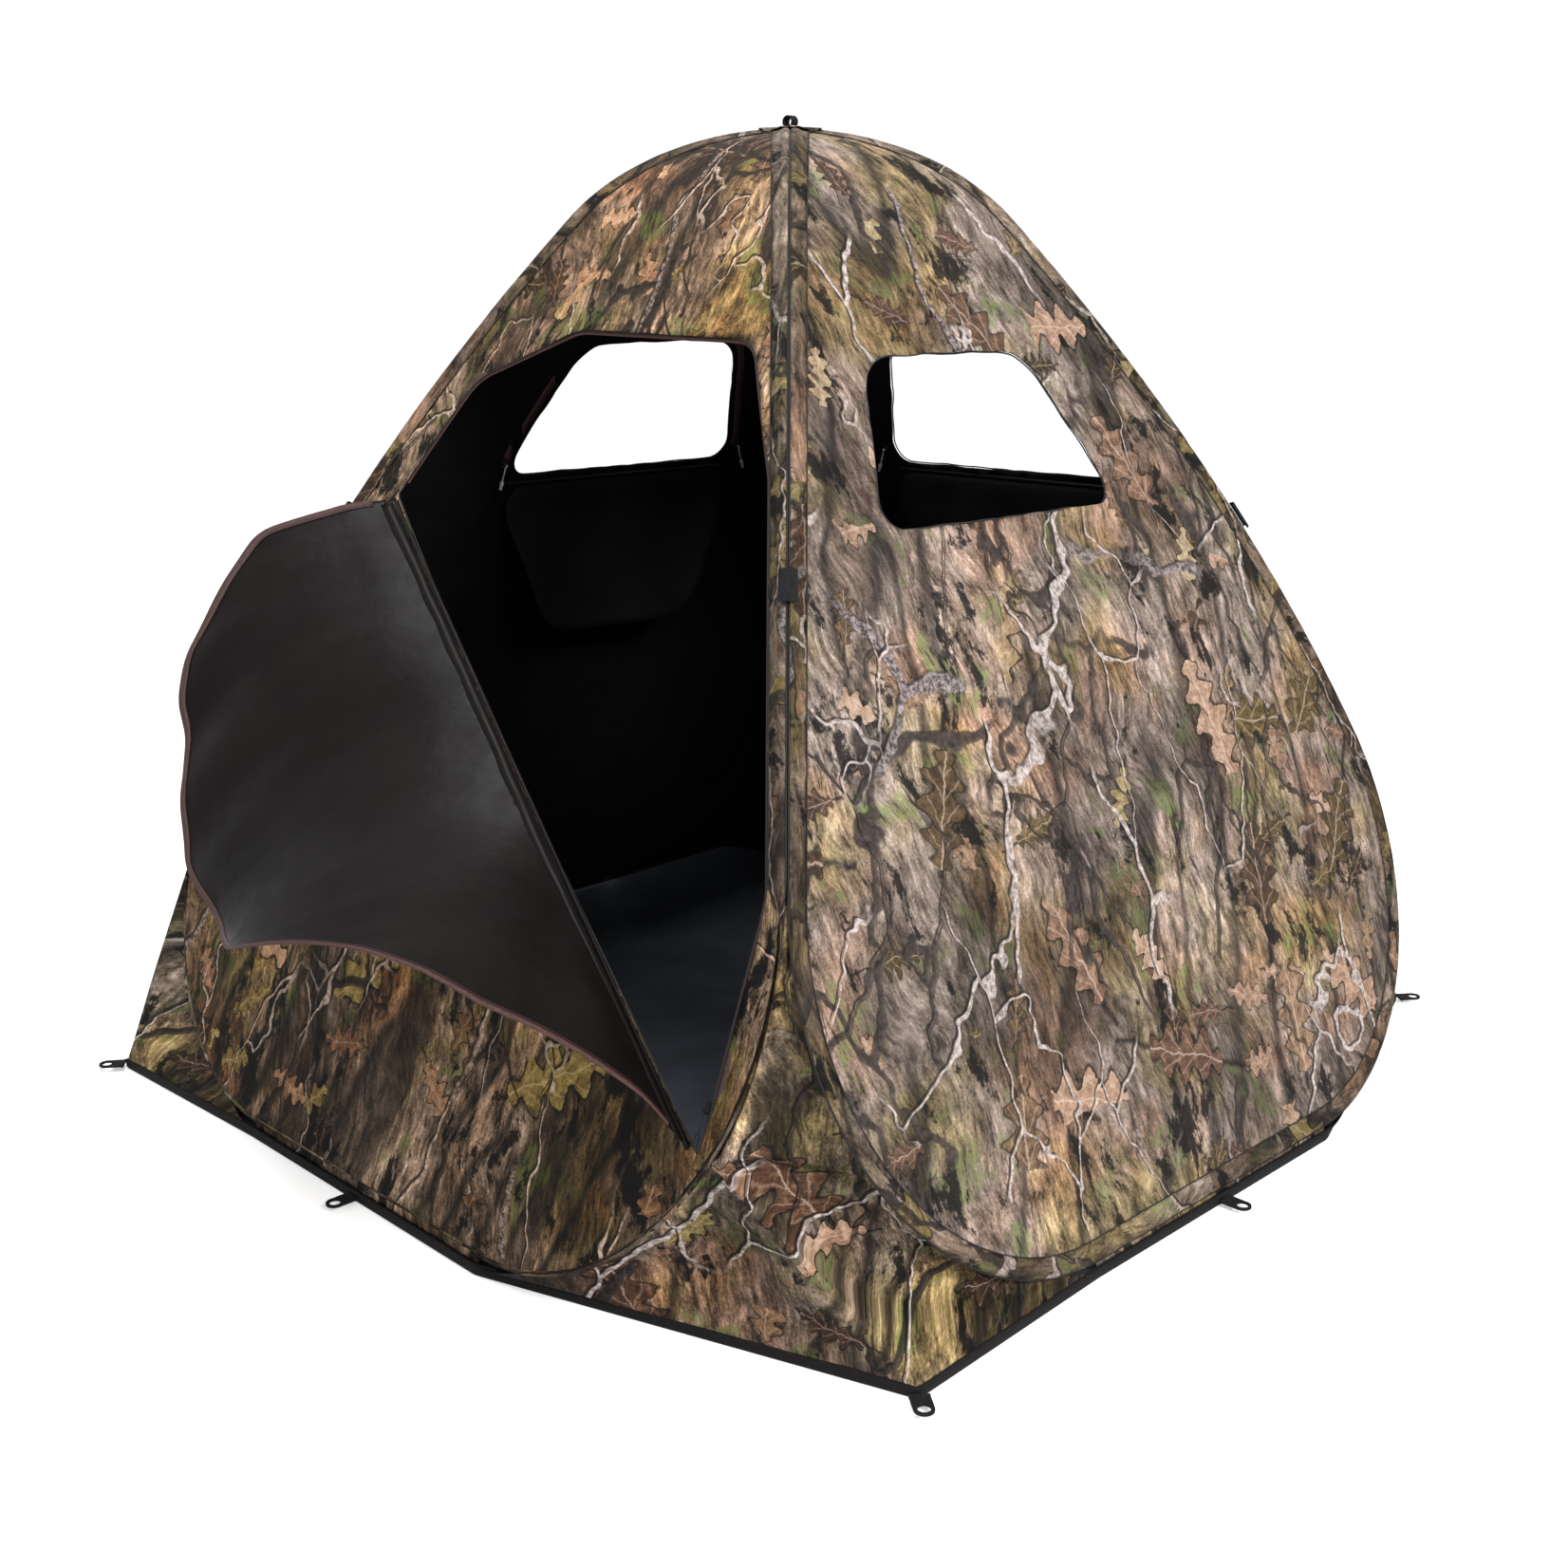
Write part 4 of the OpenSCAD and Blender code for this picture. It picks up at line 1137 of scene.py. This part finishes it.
def raised_to_hinge(points_z, depth):
    """Closed places of the flap's points: beside the hinge the cloth rises to the hinge line."""
    across = (points_z - HINGE_LOW) @ hinge_side
    points = closed_door(points_z, depth)
    points[:, 1] -= hinge_rise(points_z) * (1 - smooth(0.0, 0.075, across))
    return points


flap_outline = inset(door_z, DOOR_GAP)
flap_gap = (flap_outline - HINGE_LOW) @ hinge_side
flap_outline = flap_outline + np.maximum(0, 0.0028 - flap_gap)[:, None] * hinge_side


def flap_drape(points_z):
    """Soft waves of the hanging flap, still at its hinge line."""
    across = (points_z - HINGE_LOW) @ hinge_side
    along = (points_z - HINGE_LOW) @ hinge_flat
    hold = smooth(0.0, 0.10, across)
    soft = 0.0095 * cloud(along * 3.4, across * 2.2, 91.0) + 0.0048 * cloud(along * 9, across * 4.5, 92.0)
    pleats = 0.0016 * cloud(along * 30, across * 7, 93.0)
    near_top = smooth(0.60, 1.05, along)
    flutter = 0.0062 * np.sin(along * 46 + across * 12) * smooth(0.20, 0.40, across) * near_top
    return hold * (soft + pleats + flutter)


def on_flap(points_z, depth):
    """Places on the folded flap's own waves, below its face."""
    return fold_out(raised_to_hinge(points_z, depth + flap_drape(points_z)))


def build_flap():
    flat, faces = sheet(resample(flap_outline, 7 * MM), [], fine)
    obj = piece("door_flap_cloth", on_flap(flat, 0.8 * MM), faces, to_slope(flat),
                [camo_walls["door"], flap_black], body=None,
                replaces=["door_flap_lower", "door_flap_upper"])
    thicken(obj, 1.1 * MM)
    return bends(obj)


build_flap()


TAPE_DEPTHS = (1.9 * MM, 2.9 * MM)


def run_of(keep):
    """Indexes of the one run kept of a closed line, in order."""
    first = np.where(keep & ~np.roll(keep, 1))[0][0]
    order = np.roll(np.arange(len(keep)), -first)
    return order[keep[order]]


def strip(name, outer, inner, depth_out, depth_in, material, slot, place, centre, replaces=(), body=None):
    """A flat band between two lines on a wall, as a thin closed solid."""
    edges = ((outer, depth_out), (inner, depth_out), (inner, depth_in), (outer, depth_in))
    points = np.stack([place(line, depth) for line, depth in edges], 1)
    travelled = lengths((outer + inner) / 2)
    width = np.linalg.norm(outer - inner, axis=1).mean()
    across = np.array([width / 2, -width / 2, -width / 2, width / 2]) + centre
    uv = np.stack(np.broadcast_arrays(travelled[:, None], across[None]), -1)
    faces = grid_faces(points.shape[0], 4, False, True)
    faces += [(3, 2, 1, 0), tuple((points.shape[0] - 1) * 4 + k for k in range(4))]
    return piece(name, points, faces, uv, [material], body=body,
                 replaces=replaces)


def flap_zip():
    """Brown tape round the flap's free edge, on its inner side."""
    line = resample(inset(door_z, DOOR_GAP), 0.006)
    keep = (line - HINGE_LOW) @ hinge_side > 0.024
    order = run_of(keep)
    outer, inner = inset(line, -1.5 * MM)[order], inset(line, 10.5 * MM)[order]

    obj = strip("flap_zipper", outer, inner, 0.0020, 0.0034, zipper_brown, "zipper_tape", on_flap, 0.003,
                replaces=["flap_zipper_lower", "flap_zipper_upper"])
    return bends(obj)


flap_zip()


def hinge_hem():
    """The folded and stitched cloth along the flap's hinge line, and the cord in it."""
    count = 110
    t = np.linspace(0.012, hinge_length - 0.012, count)
    core = hinge_from + t[:, None] * hinge_along
    puff = 1 + 0.10 * cloud(t / 0.03, 0, 5.0) + 0.05 * cloud(t / 0.011, 0, 6.0)
    points, faces, uv = swept(core, np.tile(wall_normal, (count, 1)), ring(3.0 * MM, 10), closed=False,
                              scale=puff)
    return piece("door_hinge_roll", points, faces, uv, [flap_black], body="tent",
                 replaces=["door_hinge_cord"])


hinge_hem()


def hinge_turnup():
    """The wall's cloth, drawn up from the opening's edge to the straight hinge line."""
    rows_up = 6
    t = np.linspace(0.014, hinge_run - 0.014, 110)
    base = HINGE_LOW + t[:, None] * hinge_flat
    rows = []
    for share in np.linspace(0, 1, rows_up):
        flat = base - (6.5 * MM * (1 - share) + 0.2 * MM) * hinge_side
        points = closed_door(flat, np.full(len(t), -0.4 * MM))
        points[:, 1] -= (hinge_rise(flat) - 0.4 * MM) * share ** 1.6
        rows.append(points)
    grid = np.stack(rows)
    uv = np.stack(np.broadcast_arrays(t[None], np.linspace(0, 0.02, rows_up)[:, None]), -1)
    obj = piece("door_hinge_turnup", grid, grid_faces(rows_up, len(t)), uv,
                [camo_walls["door"], flap_black])
    flat_normals_out(obj)
    return thicken(obj, 0.8 * MM)


hinge_turnup()


def hinge_band():
    """A band of doubled cloth on the flap beside its hinge."""
    t = np.linspace(0.02, hinge_run - 0.02, 120)
    base = HINGE_LOW + t[:, None] * hinge_flat
    wide = 0.020 + 0.0015 * cloud(t / 0.05, 0, 3.0)
    outer = base + 0.0040 * hinge_side
    inner = base + wide[:, None] * hinge_side

    obj = strip("flap_hinge_band", outer, inner, 0.0019, 0.0026, flap_black, "black_coating", on_flap, 0.0)
    return bends(obj)


hinge_band()


def door_zip():
    """Brown tape round the opening, under the wall's edge."""
    line = resample(door_z, 0.006)
    keep = (line - HINGE_LOW) @ hinge_side > 0.018
    order = run_of(keep)
    outer, inner = inset(line, -0.009)[order], inset(line, 0.004)[order]
    return strip("door_zipper_tape", outer, inner, *TAPE_DEPTHS, zipper_brown, "zipper_tape",
                 lambda p, d: closed_door(p, np.full(len(p), d)), -3 * MM,
                 replaces=["door_zipper"], body="tent")


door_zip()


def edge_roll(name, wall, line, radius, out, material):
    """A thin rolled edge along a line in u and s."""
    path = on_wall(wall, line[:, 0], line[:, 1], out)
    outs = on_wall(wall, line[:, 0], line[:, 1], out + 1.0) - path
    points, faces, uv = swept(path, outs, ring(radius, ROLL_SIDES))
    return piece(name, points, faces, uv, [material])


edge_roll("door_edge_roll", "door", door_hole, 1.3 * MM, -0.6 * MM, black_thread_and_gap_shade)
for wall in WINDOW_WALLS:
    edge_roll(f"{wall}_window_edge", wall, window_hole, 1.2 * MM, -0.6 * MM, black_thread_and_gap_shade)

# ---- Windows: zipper tapes and hanging flaps ----

SILL_DROP = 12 * MM
HINGE_DEPTH = 6 * MM
hinge_z = SILL - SILL_DROP
hinge_lean = float(profile(slope_of_height(hinge_z))[2])
hinge_x = float(reach(hinge_z)) - HINGE_DEPTH * math.cos(hinge_lean)
hinge_height = hinge_z - HINGE_DEPTH * math.sin(hinge_lean)


def window_tape(wall):
    """Brown tape round the window's top and sides, under the wall's edge."""
    outer, inner = window_outline(0.024), window_outline(0.010)
    keep = outer[:, 1] > slope_of_height(SILL + SILL_DROP)
    order = run_of(keep)
    return strip(f"{wall}_window_tape", outer[order], inner[order], *TAPE_DEPTHS, zipper_brown,
                 "zipper_tape", lambda p, d: on_wall(wall, p[:, 0], p[:, 1], -d), 0.0,
                 replaces=[f"{wall}_window_zipper"], body="tent")


def window_flap(wall, seed):
    """The window's cloth, hanging inside from its sill."""
    low = float(slope_of_height(hinge_z + 4.5 * MM))
    outline = resample(window_outline(8 * MM), LINE_STEP)
    outline[:, 1] = np.maximum(outline[:, 1], low)
    outline = resample(outline, LINE_STEP)
    flat, faces = sheet(outline, [], 0.010)
    hang = flat[:, 1] - low
    u = flat[:, 0]
    calm = smooth(0, 0.06, hang)
    wave = calm * (0.0050 * (1 + np.sin(u * 27 + seed + 1.5 * cloud(u * 6, hang * 3, seed)))
                   * (0.35 + hang / 0.24) + 0.0020 * (2 + cloud(u * 22, hang * 8, seed + 1)))
    x, z, lean = profile(flat[:, 1])
    depth = HINGE_DEPTH + wave
    x, z = x - depth * np.cos(lean) - hinge_x, z - depth * np.sin(lean) - hinge_height
    c, k = math.cos(-WINDOW_SWING), math.sin(-WINDOW_SWING)
    points = np.stack([x * c + z * k + hinge_x, u, -x * k + z * c + hinge_height], 1)
    obj = piece(f"{wall}_window_cloth", turned(points, TURNS[wall]), faces, flat,
                [inner_black, inner_black], body=f"{wall}_flap",
                replaces=[f"{wall}_window_flap"])
    return thicken(obj, 1.0 * MM)


for k, wall in enumerate(WINDOW_WALLS):
    window_tape(wall)
    window_flap(wall, 20.0 + 3 * k)

# ---- Crown ----

def build_crown():
    """The round patch where the four walls meet, drawn down over the sleeves."""
    low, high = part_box("crown_patch")
    radius = (high.x - low.x) / 2
    count, rings = 72, 16
    a = np.arange(count) * TAU / count
    points, uv = [(0, 0, high.z)], [(0, 0)]
    seam = np.abs(np.cos(2 * a)) ** 6
    for k in range(1, rings + 1):
        share = k / rings
        r = radius * 1.12 * share
        fall = 8.5 * MM * share ** 2.2 * (1 - 0.75 * (1 - seam))
        z = high.z - fall + 0.7 * MM * np.sin(a * 22) * share ** 4
        points += [(r * math.cos(t), r * math.sin(t), float(h)) for t, h in zip(a, z)]
        uv += [(r * math.cos(t), r * math.sin(t)) for t in a]
    faces = [(0, 1 + j, 1 + (j + 1) % count) for j in range(count)]
    for k in range(rings - 1):
        for j in range(count):
            p, q = 1 + k * count + j, 1 + k * count + (j + 1) % count
            faces.append((p, p + count, q + count, q))
    obj = piece("crown_patch_cloth", points, faces, uv, [camo_trim, camo_trim],
                replaces=["crown_patch"])
    return thicken(obj, 1.2 * MM)


build_crown()


def webbing_loop(name, path, width, thick, across, body, replaces):
    """A strip of webbing along a path."""
    corner = min(thick, width) * 0.3
    half = np.array([[thick / 2, width / 2 - corner], [thick / 2, -width / 2 + corner],
                     [thick / 2 - corner, -width / 2], [-thick / 2 + corner, -width / 2]])
    section = np.concatenate([half, -half])
    path = np.asarray(path, float)
    along = np.gradient(path, axis=0)
    outs = np.cross(along, np.tile(across, (len(path), 1)))
    points, faces, uv = swept(path, outs, section, closed=False)
    return piece(name, points, faces, uv, [webbing_black], body=body, replaces=replaces)


low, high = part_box("crown_tab")
a = np.linspace(math.radians(-40), math.radians(220), 26)
loop_middle = np.array([0, 0, (low.z + high.z) / 2 - 0.001])
radius = (high.z - low.z) / 2
webbing_loop("crown_loop", loop_middle + radius * np.stack([np.cos(a) * 1.15, 0 * a, np.sin(a)], 1),
             0.014, 0.0022, (0, 1, 0), "tent", ["crown_tab"])

# ---- CAD nodes that stay, with their finish ----

finishes = {
    "_hoop": (spring_steel, "spring_steel"),
    "hoop_ferrules": (ferrule_metal, "ferrule_steel"),
    "seam_keepers": (webbing_black, "black_webbing"),
    "window_hinge_cords": (binding_black, "black_webbing"),
    "_loop": (webbing_black, "black_webbing"),
    "_slider": (slider_black, "zip_slider"),
    "_pull": (cord_pale, "pull_cord"),
}
for name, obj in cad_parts.items():
    if obj.hide_render:
        continue
    for key, (material, slot_name) in finishes.items():
        if key in name:
            if name == "door_zip_pull":
                material, slot_name = cord_black, "door_pull"
            obj.data.materials.clear()
            obj.data.materials.append(material)
            if key in ("_slider", "_pull", "_loop"):
                soft = obj.modifiers.new("Soft edges", "BEVEL")
                soft.width = 0.3 * MM
                soft.segments = 2
                soft.limit_method = "ANGLE"
                soft.harden_normals = True

# ---- Ground, light and camera ----

FLOOR_GLOW = 0.42
SKY_LIGHT = 0.66
SKY_SEEN = 1.06


def studio_floor():
    """A pale floor that reaches the camera as white, away from the object's shadow."""
    m, g, shader = new_material("Studio_pale", 0.9, 0.1)
    shader.inputs["Base Color"].default_value = (0.94, 0.94, 0.94, 1)
    shader.inputs["Emission Color"].default_value = (1, 1, 1, 1)
    seen = g.node("LightPath").outputs["Is Camera Ray"]
    g.put(g.times(seen, FLOOR_GLOW), shader.inputs["Emission Strength"])
    return m


bpy.ops.mesh.primitive_plane_add(size=60, location=(0, 0, -0.0005))
ground = bpy.context.object
ground.name = "Studio_floor"
ground.data.materials.append(studio_floor())

world = bpy.data.worlds.new("Studio")
bpy.context.scene.world = world
world.use_nodes = True
sky = Graph(world.node_tree)
seen = sky.node("LightPath").outputs["Is Camera Ray"]
background = world.node_tree.nodes["Background"]
background.inputs["Color"].default_value = (1.0, 1.0, 1.0, 1)
sky.put(sky.span(seen, 0.0, 1.0, SKY_LIGHT, SKY_SEEN), background.inputs["Strength"])
bpy.context.scene.view_settings.view_transform = "Standard"


def lamp(name, place, aim, size, power, colour=(1, 1, 1)):
    data = bpy.data.lights.new(name, "AREA")
    data.shape = "DISK"
    data.size = size
    data.energy = power
    data.color = colour
    obj = bpy.data.objects.new(name, data)
    obj.location = place
    obj.rotation_euler = (Vector(aim) - Vector(place)).to_track_quat("-Z", "Y").to_euler()
    bpy.context.scene.collection.objects.link(obj)
    return obj


lamp("Key", (4.4, -1.0, 3.2), (0.1, 0, 0.6), 1.6, 190, (1.0, 0.99, 0.98))
lamp("Top", (-0.6, -0.9, 4.6), (0, 0, 0.8), 2.0, 110)

CAMERA_PLACE = (2.0799, -2.0671, 1.2268)
CAMERA_LOOK = (-0.68695, 0.67844, -0.26043)
camera_data = bpy.data.cameras.new("Main_view")
camera_data.sensor_width = 36
camera_data.lens = 42.83
camera = bpy.data.objects.new("Main_view", camera_data)
camera.location = CAMERA_PLACE
camera.rotation_euler = Vector(CAMERA_LOOK).to_track_quat("-Z", "Y").to_euler()
bpy.context.scene.collection.objects.link(camera)
bpy.context.scene.camera = camera
